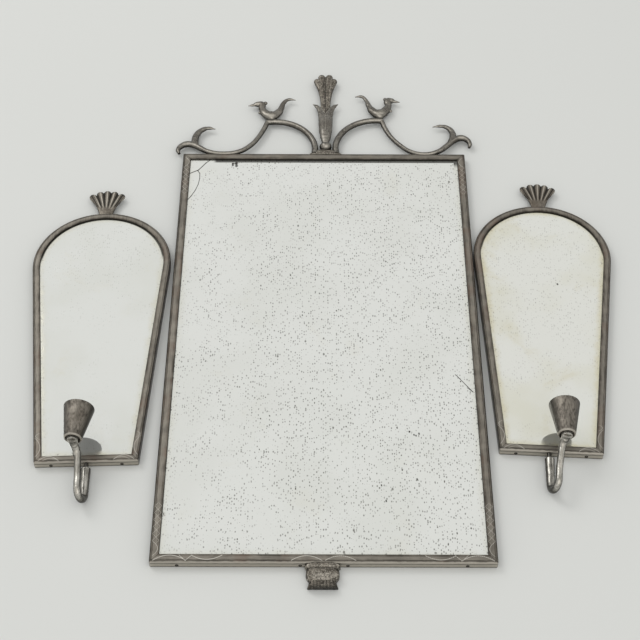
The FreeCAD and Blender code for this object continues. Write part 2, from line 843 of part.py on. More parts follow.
def rivet_places():
    """Foot of each rivet, level with the underside of the arm's tongue, from the cup's foot."""
    places = []
    for side in (-1, 1):
        angle = math.radians(side * rivet_angle)
        places.append(Vector(rivet_circle * math.sin(angle), -rivet_circle * math.cos(angle),
                             -tongue_thickness))
    return places


def rivet_hole(place):
    """Hole through the tongue, the pad and the cup's floor."""
    radius = rivet_radius + rivet_hole_clearance
    return turned(place, [(radius, -1), (radius, cup_height)], wire_corner_count)


def cup_rivets(data):
    rivets = []
    for place in rivet_places():
        length = tongue_thickness + cup_recess_depth + cup_floor
        rivet = turned(place, [(rivet_head_radius * 0.6, -rivet_head_height),
                               (rivet_head_radius, -rivet_head_height / 2), (rivet_head_radius, 0),
                               (rivet_radius, 0), (rivet_radius, length)], wire_corner_count)
        rivet.Placement = cup_place(data)
        rivets.append(rivet)
    return rivets


def candle_cup(data):
    """Conical cup with a recessed foot that takes the arm's pad."""
    slope = (cup_rim_radius - cup_base_radius) / cup_height
    floor_top = cup_recess_depth + cup_floor
    inner_floor = cup_base_radius + slope * floor_top - cup_wall
    recess = cup_base_radius - cup_foot_wall
    base = Vector(0, 0, 0)
    outside = [(cup_base_radius - cup_base_round, 0), (cup_base_radius, cup_base_round),
               (cup_rim_radius, cup_height)]
    inside = [(inner_floor, floor_top), (cup_rim_radius - cup_wall, cup_height),
              (cup_rim_radius, cup_height + 1)]
    cup = turned(base, outside, cup_corner_count).cut(turned(base, inside, cup_corner_count))
    cup = cup.cut(turned(base, [(recess, -cup_recess_depth), (recess, cup_recess_depth)],
                         cup_corner_count))
    for rivet in rivet_places():
        cup = cup.cut(rivet_hole(rivet))
    cup.Placement = cup_place(data)
    return cup


# ---- the centre mirror --------------------------------------------------------------


def build_centre():
    ring = frame_ring(centre_wire, centre_corners, centre_face, centre_rebate)
    wall = centre_face - centre_rebate
    seats = []
    for x in centre_pin_xs:
        seats.append((Vector(x, pin_y, frame_bottom_z), Vector(0, 0, 1)))
        seats.append((Vector(x, pin_y, hanger_drop), Vector(0, 0, -1)))
    pins = [pin_solid(point, inward, wall) for point, inward in seats]
    holes = [pin_hole(point, inward, wall) for point, inward in seats]
    for hole in holes:
        ring = ring.cut(hole)
    rails = {"bottom": (0, 1), "right": (1, 2), "top": (2, 3), "left": (3, 0)}
    for name, (first, second) in rails.items():
        rail = ring.common(mitre_block(centre_corners, centre_face, first, second))
        export("centre_" + name + "_rail", rail)
    export("centre_mirror_glass", mirror_glass(centre_wire, centre_rebate))
    export("centre_backboard", backboard(centre_wire, centre_rebate, 0, holes))
    export("centre_backboard_pins", *pins)
    export("centre_hanger_plate", hanger_plate(0))
    export("centre_hanger_screws", *hanger_screws(0))
    export("bottom_pendant", pendant())


def build_crest():
    plate = base_plate()
    export("crest_base_plate", plate)
    leaves = calyx()
    round_ball = ball().cut(plate)
    leaves = leaves.cut(round_ball)
    export("crest_ball", round_ball)
    export("crest_calyx", leaves)
    export("crest_plume", plume(leaves))
    for side in sides:
        rod = arch_rod(side)
        bar = scroll(side, rod)
        export("crest_" + side + "_arch_rod", rod)
        export("crest_" + side + "_scroll", bar)
        export("crest_" + side + "_horn", horn(side, bar))
        export("crest_" + side + "_bird", bird(side, rod, bar))


# ---- one of the two arched mirrors --------------------------------------------------


def build_sconce(side):
    data = sides[side]
    ring = frame_ring(sconce_wire, sconce_corners, sconce_face, sconce_rebate)
    wall = sconce_face - sconce_rebate
    tilt = math.radians(sconce_taper)
    side_x = sconce_radius(sconce_face) * math.cos(tilt) - sconce_side_pin_drop * math.sin(tilt)
    side_z = (sconce_arch_height - sconce_radius(sconce_face) * math.sin(tilt)
              - sconce_side_pin_drop * math.cos(tilt))
    seats = []
    for out in (-1, 1):
        seats.append((Vector(out * sconce_pin_x, pin_y, -sconce_face), Vector(0, 0, 1)))
        inward = Vector(-out * math.cos(tilt), 0, math.sin(tilt))
        seats.append((Vector(out * side_x, pin_y, side_z), inward))
    pins = [pin_solid(point, inward, wall) for point, inward in seats]
    holes = [pin_hole(point, inward, wall) for point, inward in seats]
    for hole in holes:
        ring = ring.cut(hole)
    block = mitre_block(sconce_corners, sconce_face, 0, 1)
    pivot = Vector(data["arm_offset"], arm_y, 0)
    turn = FreeCAD.Placement(pivot, FreeCAD.Rotation(Vector(0, 0, 1), data["arm_turn"]))
    hole = pivot_hole()
    hole.Placement = turn
    bottom_rail = ring.common(block).cut(hole)
    eye_z = sconce_arch_height + sconce_radius(sconce_face) - sconce_hanger_drop

    beside, height = data["sconce_stand"]
    foot = Vector(data["out"] * (centre_width / 2 + beside), 0, frame_bottom_z + height)
    place = FreeCAD.Placement(foot, FreeCAD.Rotation(Vector(0, 1, 0), data["lean"]))

    def put(name, *solids, arm=False):
        moved = []
        for solid in solids:
            copy = solid.copy()
            if arm:
                copy.Placement = turn.multiply(copy.Placement)
            copy.Placement = place.multiply(copy.Placement)
            moved.append(copy)
        export(side + "_" + name, *moved)

    put("arch_rail", ring.cut(block))
    put("bottom_rail", bottom_rail)
    put("shell_crest", shell(data["shell_shift"]))
    put("mirror_glass", mirror_glass(sconce_wire, sconce_rebate))
    put("backboard", backboard(sconce_wire, sconce_rebate, eye_z, holes))
    put("backboard_pins", *pins)
    put("hanger_plate", hanger_plate(eye_z))
    put("hanger_screws", *hanger_screws(eye_z))
    put("pivot_screw", pivot_screw(), arm=True)
    put("candle_arm", candle_arm(data), arm=True)
    put("candle_cup", candle_cup(data), arm=True)
    put("cup_rivets", *cup_rivets(data), arm=True)


os.makedirs("parts", exist_ok=True)
build_centre()
build_crest()
for side in sides:
    build_sconce(side)
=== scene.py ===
import bmesh
import bpy
import json
import math
from mathutils import Matrix, Vector


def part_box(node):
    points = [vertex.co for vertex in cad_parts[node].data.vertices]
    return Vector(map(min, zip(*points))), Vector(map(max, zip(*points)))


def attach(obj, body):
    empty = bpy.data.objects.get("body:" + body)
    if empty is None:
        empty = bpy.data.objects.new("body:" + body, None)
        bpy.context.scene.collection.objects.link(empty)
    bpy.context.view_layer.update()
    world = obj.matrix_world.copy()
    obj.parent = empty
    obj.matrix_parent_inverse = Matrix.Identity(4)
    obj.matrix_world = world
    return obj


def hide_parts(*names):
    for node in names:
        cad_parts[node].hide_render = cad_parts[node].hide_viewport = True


# An old pewter girandole set: a tall mirror with a crest of scrolls and birds, and two arched
# mirrors with candle arms. Lengths are metres in the row's frame: x right, y into the wall, z up.

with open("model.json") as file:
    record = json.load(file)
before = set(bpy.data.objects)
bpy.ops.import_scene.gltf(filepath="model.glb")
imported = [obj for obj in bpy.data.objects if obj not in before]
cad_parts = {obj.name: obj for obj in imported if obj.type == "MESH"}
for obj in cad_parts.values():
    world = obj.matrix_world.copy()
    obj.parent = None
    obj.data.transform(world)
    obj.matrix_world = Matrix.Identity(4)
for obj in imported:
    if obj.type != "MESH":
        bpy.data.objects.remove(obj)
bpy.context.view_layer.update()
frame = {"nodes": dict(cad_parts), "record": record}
nodes = frame["nodes"]
scene = bpy.context.scene
mm = 0.001
print("frame loaded,", len(nodes), "nodes")


# where things are, taken from the frame

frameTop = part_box("centre_top_rail")[1].z
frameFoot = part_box("centre_bottom_rail")[0].z
ballLow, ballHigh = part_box("crest_ball")
crestX = (ballLow.x + ballHigh.x) / 2
crestY = (ballLow.y + ballHigh.y) / 2
pendantX = (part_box("bottom_pendant")[0].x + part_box("bottom_pendant")[1].x) / 2

# foot is (x, height over the centre mirror's foot) in millimetres, lean in degrees
archPlaces = {
    "left": {"foot": (-271.8, 140.9), "lean": -1.96},
    "right": {"foot": (262.2, 156.3), "lean": 3.17},
}


def archMatrix(side):
    # from an arched mirror's own upright frame to the row's frame
    place = archPlaces[side]
    footX, footZ = place["foot"]
    turn = Matrix.Rotation(math.radians(place["lean"]), 4, "Y")
    return Matrix.Translation((footX * mm, 0, frameFoot + footZ * mm)) @ turn


# camera

# aim and distance in millimetres, upward and roll in degrees
view = {
    "aim": (-4.7, -10.5, 343.1),
    "distance": 1878.0,
    "upward": 39.976,
    "roll": -0.16,
    "lens": 85.91,
}


def addCamera():
    up = math.radians(view["upward"])
    aim = Vector((view["aim"][0] * mm, view["aim"][1] * mm, frameFoot + view["aim"][2] * mm))
    look = Vector((0, math.cos(up), math.sin(up)))
    data = bpy.data.cameras.new("camera")
    data.lens = view["lens"]
    data.sensor_width = 36
    data.clip_end = 20
    camera = bpy.data.objects.new("camera", data)
    scene.collection.objects.link(camera)
    camera.matrix_world = (
        Matrix.Translation(aim - look * view["distance"] * mm)
        @ Matrix.Rotation(math.radians(view["roll"]), 4, look)
        @ look.to_track_quat("-Z", "Y").to_matrix().to_4x4()
    )
    scene.camera = camera


addCamera()
scene.view_settings.view_transform = "Standard"


# shader helpers

class Tone:
    # a number socket that does sums in the node tree
    def __init__(self, recipe, socket):
        self.recipe = recipe
        self.socket = socket

    def __add__(self, other):
        return self.recipe.sum("ADD", self, other)

    def __radd__(self, other):
        return self.recipe.sum("ADD", other, self)

    def __sub__(self, other):
        return self.recipe.sum("SUBTRACT", self, other)

    def __rsub__(self, other):
        return self.recipe.sum("SUBTRACT", other, self)

    def __mul__(self, other):
        return self.recipe.sum("MULTIPLY", self, other)

    def __rmul__(self, other):
        return self.recipe.sum("MULTIPLY", other, self)

    def __truediv__(self, other):
        return self.recipe.sum("DIVIDE", self, other)


class Recipe:
    # one material and its node tree
    def __init__(self, name):
        self.material = bpy.data.materials.new(name)
        self.material.use_nodes = True
        self.tree = self.material.node_tree
        self.surface = self.tree.nodes["Principled BSDF"]
        self.place = self.node("ShaderNodeTexCoord", output="Object")

    def node(self, kind, settings=None, inputs=None, output=0):
        made = self.tree.nodes.new(kind)
        for key, value in (settings or {}).items():
            setattr(made, key, value)
        for key, value in (inputs or {}).items():
            if isinstance(value, Tone):
                self.tree.links.new(value.socket, made.inputs[key])
            else:
                made.inputs[key].default_value = value
        return Tone(self, made.outputs[output])

    def sum(self, operation, first, second):
        return self.node("ShaderNodeMath", {"operation": operation}, {0: first, 1: second})

    def maths(self, operation, *values):
        return self.node("ShaderNodeMath", {"operation": operation}, dict(enumerate(values)))

    def axes(self, vector=None):
        made = self.tree.nodes.new("ShaderNodeSeparateXYZ")
        self.tree.links.new((vector or self.place).socket, made.inputs[0])
        return [Tone(self, made.outputs[index]) for index in range(3)]

    def noise(self, scale, detail=2.0, roughness=0.5, vector=None, distortion=0.0):
        return self.node("ShaderNodeTexNoise", None, {
            "Vector": vector or self.place, "Scale": scale, "Detail": detail,
            "Roughness": roughness, "Distortion": distortion}, "Fac")

    def rise(self, value, low, high):
        # 0 below low, 1 above high, smooth between; low may be the larger
        return self.node("ShaderNodeMapRange", {"interpolation_type": "SMOOTHSTEP"}, {
            "Value": value, "From Min": low, "From Max": high, "To Min": 0.0, "To Max": 1.0})

    def blend(self, factor, first, second):
        made = self.tree.nodes.new("ShaderNodeMix")
        made.data_type = "RGBA"
        made.clamp_factor = True
        for index, value in ((0, factor), (6, first), (7, second)):
            if isinstance(value, Tone):
                self.tree.links.new(value.socket, made.inputs[index])
            else:
                made.inputs[index].default_value = value if index == 0 else (*value, 1)
        return Tone(self, made.outputs[2])

    def mapped(self, location, rotation, scale=(1, 1, 1)):
        # coordinates in a frame that has this place and turn
        return self.node("ShaderNodeMapping", {"vector_type": "TEXTURE"}, {
            "Vector": self.place, "Location": location, "Rotation": rotation, "Scale": scale})

    def bump(self, height, depth):
        return self.node("ShaderNodeBump", None, {
            "Height": height, "Distance": depth, "Strength": 1.0})

    def finish(self, **sockets):
        for name, value in sockets.items():
            socket = self.surface.inputs[name.replace("_", " ")]
            if isinstance(value, Tone):
                self.tree.links.new(value.socket, socket)
            elif isinstance(value, tuple):
                socket.default_value = (*value, 1)
            else:
                socket.default_value = value
        return self.material


# pewter

pewter = {
    "frame": {"dark": (0.055, 0.048, 0.038), "light": (0.195, 0.175, 0.145),
              "patch": (0.13, 0.08, 0.056), "rough": 0.4, "grain": 0.0002},
    "crest": {"dark": (0.07, 0.063, 0.054), "light": (0.26, 0.244, 0.212),
              "patch": (0.1, 0.085, 0.066), "rough": 0.3, "grain": 0.0002},
    "casting": {"dark": (0.07, 0.06, 0.048), "light": (0.24, 0.214, 0.176),
                "patch": (0.12, 0.095, 0.07), "rough": 0.4, "grain": 0.0004},
    "arm": {"dark": (0.19, 0.18, 0.157), "light": (0.57, 0.55, 0.5),
            "patch": (0.2, 0.18, 0.15), "rough": 0.26, "grain": 0.0001},
    "cup": {"dark": (0.045, 0.038, 0.031), "light": (0.27, 0.243, 0.205),
            "patch": (0.12, 0.1, 0.078), "rough": 0.42, "grain": 0.0005},
}
# light colour for wear and painted highlights, dark for pits, cracks and painted shade
wearAndHighlight = (0.56, 0.52, 0.45)
scratch = (0.74, 0.71, 0.64)
sootAndShade = (0.02, 0.018, 0.014)


def pewterRecipe(name, finish, stretch=(1, 1, 1)):
    # clouds of tarnish, small dark pits and fine drawn grain over grey metal
    settings = pewter[finish]
    recipe = Recipe(name)
    grainPlace = recipe.mapped((0, 0, 0), (0, 0, 0), stretch)
    clouds = recipe.noise(70.0, 4.0, 0.6)
    patches = recipe.rise(recipe.noise(19.0, 3.0, 0.6, distortion=0.5), 0.52, 0.68)
    pits = recipe.rise(recipe.noise(520.0, 3.0, 0.7), 0.64, 0.74)
    fine = recipe.noise(620.0, 4.0, 0.65, grainPlace)
    base = recipe.blend(recipe.rise(clouds * 0.45 + fine * 0.55, 0.33, 0.66),
                        settings["dark"], settings["light"])
    base = recipe.blend(patches * 0.5, base, settings["patch"])
    base = recipe.blend(pits * 0.75, base, sootAndShade)
    rough = settings["rough"] + (clouds - 0.5) * 0.2 + patches * 0.12 + (fine - 0.5) * 0.16
    height = fine * 0.5 + clouds * 0.4 - pits * 0.7
    return recipe, base, rough, height


def pewterMaterial(name, finish, relief=0.0, sideShade=(0.86, 0.42), stretch=(1, 1, 1), lines=None,
                   frontHighlight=0.62):
    # painted highlight where the piece faces the viewer, painted shade where it turns away
    recipe, base, rough, height = pewterRecipe(name, finish, stretch)
    facingLight = recipe.node("ShaderNodeAttribute", {"attribute_name": "facingLight"}, output="Fac")
    # facing light with noise: low values get painted shade, high values a painted highlight
    raggedFacing = facingLight + (recipe.noise(260.0, 3.0, 0.6) - 0.5) * 0.14
    base = recipe.blend(recipe.rise(raggedFacing, sideShade[0], sideShade[1]) * 0.88, base, sootAndShade)
    base = recipe.blend(recipe.rise(raggedFacing, 0.88, 1.02) * frontHighlight, base, wearAndHighlight)
    base = recipe.blend(recipe.rise(raggedFacing, 1.2, 1.5) * 0.35, base, wearAndHighlight)
    if relief:
        carving = recipe.noise(430.0, 2.0, 0.5, distortion=1.4)
        base = recipe.blend(recipe.rise(carving, 0.52, 0.38) * 0.7, base, sootAndShade)
        base = recipe.blend(recipe.rise(carving, 0.54, 0.68) * 0.55, base, wearAndHighlight)
        height = height + carving * relief
    if lines:
        light, dark = lines(recipe)
        base = recipe.blend(dark * 0.8, base, sootAndShade)
        base = recipe.blend(light * 0.7, base, wearAndHighlight)
        height = height - (light + dark) * 0.8
    return recipe.finish(Base_Color=base, Roughness=rough, Metallic=0.8,
                         Normal=recipe.bump(height, pewter[finish]["grain"]))


# engraving on the rails
# A mirror's outline in its own frame: across is 0 at the sight edge and grows outwards.

centreSight = {"half": 0.1795, "low": 0.0105, "high": 0.6265}
archSight = {"half": 0.0514, "taper": math.radians(5.22), "arch": 0.2964, "radius": 0.078154}


def centreAcross(recipe, x, z):
    reach = recipe.maths("ABSOLUTE", x)
    side = reach - centreSight["half"]
    ends = recipe.maths("MAXIMUM", z - centreSight["high"], centreSight["low"] - z)
    return recipe.maths("MAXIMUM", side, ends), side, ends


def archAcross(recipe, x, z):
    reach = recipe.maths("ABSOLUTE", x)
    taper = archSight["taper"]
    side = (reach - z * math.tan(taper) - archSight["half"]) * math.cos(taper)
    rise = z - archSight["arch"]
    hoop = recipe.maths("SQRT", x * x + rise * rise) - archSight["radius"]
    above = recipe.rise(rise + archSight["radius"] * math.sin(taper), -0.0005, 0.0005)
    outline = side * (1.0 - above) + hoop * above
    return recipe.maths("MAXIMUM", outline, z * -1.0), side, z * -1.0


def lineAt(recipe, gap, width):
    # 1 where gap is near nought
    return recipe.rise(recipe.maths("ABSOLUTE", gap), width, width * 0.35)


def bow(recipe, along, across, middle, half, crown, depth, width=0.00056):
    # one engraved bow: across is crown at its middle and crown + depth at its ends
    run = (along - middle) / half
    gate = recipe.rise(recipe.maths("ABSOLUTE", run), 1.06, 1.0)
    return lineAt(recipe, across - crown - run * run * depth, width) * gate


def notch(recipe, along, across, middle, half, depth, width=0.00056):
    run = recipe.maths("ABSOLUTE", along - middle)
    gate = recipe.rise(run, half * 1.05, half)
    return lineAt(recipe, across - depth + run * (depth / half) * 0.8, width) * gate


def dots(recipe, along, spacing):
    return recipe.rise(recipe.maths("SINE", along * (2 * math.pi / spacing)), -0.9, -0.2)


def centreEngraving(recipe, x, z, side, lying):
    reach = recipe.maths("ABSOLUTE", x)
    if lying:
        low = centreSight["low"] - z
        dotted = recipe.maths("MAXIMUM", dots(recipe, x, 0.0021), recipe.rise(x, 0.004, -0.004))
        lines = bow(recipe, reach, low, 0.168, 0.0175, 0.002, 0.0062)
        lines = lines + bow(recipe, reach, low, 0.1275, 0.0165, 0.0072, -0.0052)
        lines = lines + notch(recipe, reach, low, 0.1505, 0.007, 0.0085)
        lines = lines + bow(recipe, reach, low, 0.0185, 0.0165, 0.0024, 0.0056)
        return lines * (dotted * 0.6 + 0.4)
    fromTop = centreSight["high"] + 0.0105 - z
    end = recipe.maths("MINIMUM", fromTop, z)
    wave = recipe.maths("PINGPONG", end, 0.009)
    gate = recipe.rise(end, 0.078, 0.074) * recipe.rise(end, 0.022, 0.026)
    lines = lineAt(recipe, side - 0.001 - wave * 0.85, 0.0005)
    lines = lines + lineAt(recipe, side - 0.0088 + wave * 0.85, 0.0005)
    return lines * gate * 0.38 + bow(recipe, end, side, 0.0165, 0.0085, 0.002, 0.005) * 0.5


def archEngraving(recipe, x, z, side, lying):
    reach = recipe.maths("ABSOLUTE", x)
    if lying:
        ends = z * -1.0
        lines = bow(recipe, reach, ends, 0.043, 0.0115, 0.0012, 0.0058)
        return (lines + bow(recipe, reach, ends, 0.0405, 0.009, 0.0036, 0.0034) * 0.6) * 0.55
    lines = bow(recipe, z, side, 0.012, 0.013, 0.0015, 0.0055)
    return (lines + bow(recipe, z, side, 0.0275, 0.0045, 0.0062, -0.0045)) * 0.45


railMarks = {"face": (-0.0091, -0.0099), "wander": 0.0014, "rim": (0.0017, 0.0006),
             "groove": (0.0026, 0.0008), "lip": (0.0011, 0.0002), "mitre": 0.00045,
             "underRim": (0.0016, 0.0005), "bottom": (0.03, 0.02), "holeBack": 0.00315,
             "hole": (0.0024, 0.0017)}


def railMaterial(name, kind, lying, location=(0, 0, 0), rotation=(0, 0, 0)):
    stretch = (14, 1, 1) if lying else (1, 1, 14)
    recipe, base, rough, height = pewterRecipe(name, "frame", stretch)
    x, y, z = recipe.axes(recipe.mapped(location, rotation))
    outline, engrave, width, holes = kind
    across, side, ends = outline(recipe, x, z)
    marks = railMarks
    front = recipe.rise(y, *marks["face"])
    lines = engrave(recipe, x, z, side, lying) * front
    wobble = (recipe.noise(160.0, 2.0, 0.5) - 0.5) * marks["wander"]
    edge = recipe.rise(across + wobble, *(width - inset for inset in marks["rim"]))
    inset, wide = marks["groove"]
    groove = lineAt(recipe, across + wobble - width + inset, wide) * front
    lip = recipe.rise(across + wobble, *marks["lip"])
    mitre = lineAt(recipe, side - ends, marks["mitre"]) * front
    middle = lineAt(recipe, across + wobble - width * 0.5, width * 0.34) * front
    bottom = recipe.rise(z, *marks["bottom"])
    # painted highlight along the lower edge of the bottom rail's front
    low = recipe.rise(ends + wobble, *(width - inset for inset in marks["underRim"])) * bottom
    # painted light: the bottom rail's underside made lighter, as if lit from below
    below = recipe.rise(ends, width - 0.0003, width)
    below = below * bottom * recipe.rise(y, -0.0098, -0.0088)
    # a dark line along the underside, and painted shade at its back edge by the wall
    underLineAndWallShade = lineAt(recipe, y + 0.0066 + wobble, 0.0011)
    underLineAndWallShade = underLineAndWallShade + recipe.rise(y + wobble, -0.0018, -0.0008)
    base = recipe.blend(middle * 0.18, base, wearAndHighlight)
    base = recipe.blend(groove * 0.6 + mitre * 0.9 + lip * 0.9, base, sootAndShade)
    base = recipe.blend(edge * (1.0 - low) * 0.8, base, sootAndShade)
    base = recipe.blend(low * 0.5, base, wearAndHighlight)
    base = recipe.blend(lines * 0.85, base, scratch)
    base = recipe.blend(below * 0.66, base, wearAndHighlight)
    base = recipe.blend(below * underLineAndWallShade * 0.7, base, sootAndShade)
    if lying:
        gone = 0.0
        for hole in holes:
            awayX = x - hole
            awayY = y + marks["holeBack"]
            gap = recipe.maths("SQRT", awayX * awayX + awayY * awayY)
            gone = recipe.maths("MAXIMUM", gone, recipe.rise(gap, *marks["hole"]))
        base = recipe.blend(gone * below, base, sootAndShade)
    height = height - groove * 0.8 - mitre * 0.8 - lines * 1.6
    rough = rough - (low + lines) * 0.08
    return recipe.finish(Base_Color=base, Roughness=rough, Metallic=0.8,
                         Normal=recipe.bump(height, pewter["frame"]["grain"]))


# mirror glass

# density is (x, z, reach), shade (start x, end x, start z, depth, strength), a crack
# (start x, start z, end x, end z, width)
glass = {
    "centre": {
        "clear": (0.8, 0.81, 0.78), "cloud": (0.77, 0.78, 0.745), "fox": (0.7, 0.68, 0.56),
        "foxing": 0.3, "fineSpots": 0.66, "largeSpots": 0.75, "density": (0.12, 0.3, 0.5),
        "shade": (-0.15, 0.19, 0.61, 0.0054, 0.85),
        "cracks": [(-0.1495, 0.6306, -0.1589, 0.6206, 0.0009),
                   (-0.1589, 0.6206, -0.1683, 0.6071, 0.001),
                   (-0.1683, 0.6071, -0.18, 0.6004, 0.0011),
                   (-0.1696, 0.6064, -0.1662, 0.6009, 0.0008),
                   (-0.1662, 0.6009, -0.1658, 0.591, 0.0007),
                   (-0.1658, 0.591, -0.1673, 0.58, 0.0007),
                   (-0.1673, 0.58, -0.1706, 0.569, 0.0007),
                   (-0.1706, 0.569, -0.1756, 0.558, 0.0008),
                   (-0.1756, 0.558, -0.1812, 0.549, 0.0009),
                   (-0.1228, 0.6195, -0.1182, 0.6195, 0.0012),
                   (-0.1179, 0.6218, -0.1177, 0.6145, 0.0023),
                   (-0.1228, 0.6198, -0.1226, 0.616, 0.0019),
                   (0.158, 0.2599, 0.1768, 0.2345, 0.0007),
                   (0.1714, 0.2398, 0.1768, 0.2345, 0.0006),
                   (0.0852, 0.1826, 0.0854, 0.1812, 0.0011), (0.1058, 0.1108, 0.106, 0.109, 0.0012),
                   (0.07, 0.0816, 0.0702, 0.08, 0.0012), (0.0652, 0.1024, 0.0654, 0.101, 0.0011),
                   (0.099, 0.177, 0.0992, 0.1755, 0.001), (0.1045, 0.1724, 0.1047, 0.1714, 0.0012),
                   (0.1068, 0.1712, 0.107, 0.1702, 0.0012),
                   (0.1104, 0.1742, 0.1106, 0.1728, 0.0013)],
    },
    "left": {
        "clear": (0.79, 0.8, 0.77), "cloud": (0.76, 0.77, 0.73), "fox": (0.66, 0.61, 0.44),
        "foxing": 0.42, "fineSpots": 0.25, "largeSpots": 0.15, "density": (0.0, 0.32, 0.08),
        "shade": (-0.1, 0.1, 0.3, 0.0022, 0.85),
        "cracks": [],
    },
    "right": {
        "clear": (0.79, 0.795, 0.75), "cloud": (0.745, 0.74, 0.65), "fox": (0.64, 0.58, 0.38),
        "foxing": 0.62, "fineSpots": 0.24, "largeSpots": 0.2, "density": (0.0, 0.25, 0.16),
        "shade": (-0.1, 0.1, 0.3, 0.0018, 0.8),
        "cracks": [(0.0175, 0.2505, 0.0177, 0.2495, 0.0016)],
    },
}


# scale, least chance, size, then the values of gathering where spots begin and are full
glassSpots = {"fine": (380.0, 0.4, 0.56, 0.44, 0.82), "middling": (190.0, 0.74, 0.62, 0.6, 0.85),
              "large": (90.0, 0.92, 1.5, 0.55, 0.78)}
spotDark = (0.12, 0.115, 0.1)
speckDark = (0.1, 0.095, 0.08)


def strokeAt(recipe, x, z, stroke):
    # a thin dark line between two points of the glass
    startX, startZ, endX, endZ, width = stroke
    runX, runZ = endX - startX, endZ - startZ
    square = runX * runX + runZ * runZ
    share = ((x - startX) * runX + (z - startZ) * runZ) / square
    share = recipe.maths("MINIMUM", recipe.maths("MAXIMUM", share, 0.0), 1.0)
    offX = x - startX - share * runX
    offZ = z - startZ - share * runZ
    return recipe.rise(recipe.maths("SQRT", offX * offX + offZ * offZ), width, width * 0.4)


def spotsAt(recipe, flat, scale, least, size):
    # round spots of many sizes, one cell in a few has one
    settings = {"voronoi_dimensions": "2D"}
    inputs = {"Vector": flat, "Scale": scale}
    distance = recipe.node("ShaderNodeTexVoronoi", settings, inputs, "Distance")
    chance = recipe.axes(recipe.node("ShaderNodeTexVoronoi", settings, inputs, "Color"))[0]
    radius = recipe.maths("MAXIMUM", chance - least, 0.0) * size
    return recipe.rise(distance - radius, 0.03, -0.04) * recipe.rise(chance, least, least + 0.02)


def glassMaterial(name, side, location, rotation=(0, 0, 0)):
    settings = glass[side]
    recipe = Recipe(name)
    x, y, z = recipe.axes(recipe.mapped(location, rotation))
    outline = centreAcross if side == "centre" else archAcross
    inside = outline(recipe, x, z)[0] * -1.0
    flat = recipe.node("ShaderNodeCombineXYZ", None, {"X": x, "Y": z * 0.62, "Z": 0.0})
    middleX, middleZ, reach = settings["density"]
    awayX = x - middleX
    awayZ = (z - middleZ) * 0.7
    near = recipe.rise(recipe.maths("SQRT", awayX * awayX + awayZ * awayZ), reach, reach * 0.2)
    gathering = recipe.noise(24.0, 4.0, 0.7) * 1.5 + near * 0.34 - 0.26
    spots = {}
    for kind, (scale, least, size, low, high) in glassSpots.items():
        spots[kind] = spotsAt(recipe, flat, scale, least, size) * recipe.rise(gathering, low, high)
    rim = recipe.rise(inside + (recipe.noise(60.0, 4.0, 0.7) - 0.5) * 0.016, 0.009, -0.002)
    foxing = recipe.rise(recipe.noise(17.0, 5.0, 0.7, distortion=0.4), 0.55, 0.75) * 0.6 + rim
    speckle = recipe.rise(recipe.noise(420.0, 2.0, 0.6), 0.62, 0.7) * rim
    colour = recipe.blend(recipe.rise(recipe.noise(9.0, 3.0, 0.55), 0.4, 0.62),
                          settings["clear"], settings["cloud"])
    colour = recipe.blend(foxing * settings["foxing"], colour, settings["fox"])
    small = spots["fine"] * settings["fineSpots"] + spots["middling"] * settings["fineSpots"]
    colour = recipe.blend(small, colour, spotDark)
    colour = recipe.blend(spots["large"] * settings["largeSpots"] + speckle * 0.6, colour,
                          speckDark)
    # shade: a dark band along the glass under the rail, the rail's painted reflection
    startX, endX, startZ, deep, strength = settings["shade"]
    within = recipe.rise(x, startX, startX + 0.006) * recipe.rise(x, endX, endX - 0.006)
    within = within * recipe.rise(z, startZ, startZ + 0.012)
    shade = recipe.rise(inside, deep, deep - 0.0012) * within
    colour = recipe.blend(shade * strength, colour, sootAndShade)
    marks = 0.0
    for stroke in settings["cracks"]:
        marks = marks + strokeAt(recipe, x, z, stroke)
    if settings["cracks"]:
        colour = recipe.blend(marks * 0.85, colour, sootAndShade)
    dull = recipe.maths("MINIMUM", spots["fine"] + spots["large"] + foxing * 0.5, 1.0)
    return recipe.finish(Base_Color=colour, Roughness=0.035 + dull * 0.2, Metallic=0.72,
                         Specular_IOR_Level=0.3)


def leafNotch(recipe):
    # the edge where the calyx leaves part in front of the plume
    x, y, z = recipe.axes(recipe.mapped((crestX, crestY, frameTop), (0, 0, 0)))
    reach = recipe.maths("ABSOLUTE", x)
    return x, z, reach, z - reach * 1.83 - 0.0823


def calyxLines(recipe):
    # a light line along the leaves' edge, and a painted highlight down the calyx's middle
    x, z, reach, over = leafNotch(recipe)
    stem = lineAt(recipe, x, 0.0006) * recipe.rise(z, 0.084, 0.08) * recipe.rise(z, 0.036, 0.05)
    return lineAt(recipe, over, 0.0012) * recipe.rise(reach, 0.0105, 0.009) + stem * 0.3, stem * 0.0


def plumeLines(recipe):
    x, z, reach, over = leafNotch(recipe)
    spine = lineAt(recipe, x, 0.0011) * dots(recipe, z, 0.0032) * recipe.rise(z, 0.15, 0.14)
    side = lineAt(recipe, reach - 0.0042 - (z - 0.09) * 0.06, 0.0006) * dots(recipe, z, 0.0024)
    # painted shade on the plume just above the calyx's edge
    deep = lineAt(recipe, over - 0.0014, 0.0014)
    pock = lineAt(recipe, x + 0.0032, 0.0011) * recipe.rise(z, 0.132, 0.136)
    pock = pock * recipe.rise(z, 0.15, 0.146)
    return lineAt(recipe, over, 0.001) + side * 0.4, spine * 0.9 + deep * 0.8 + pock


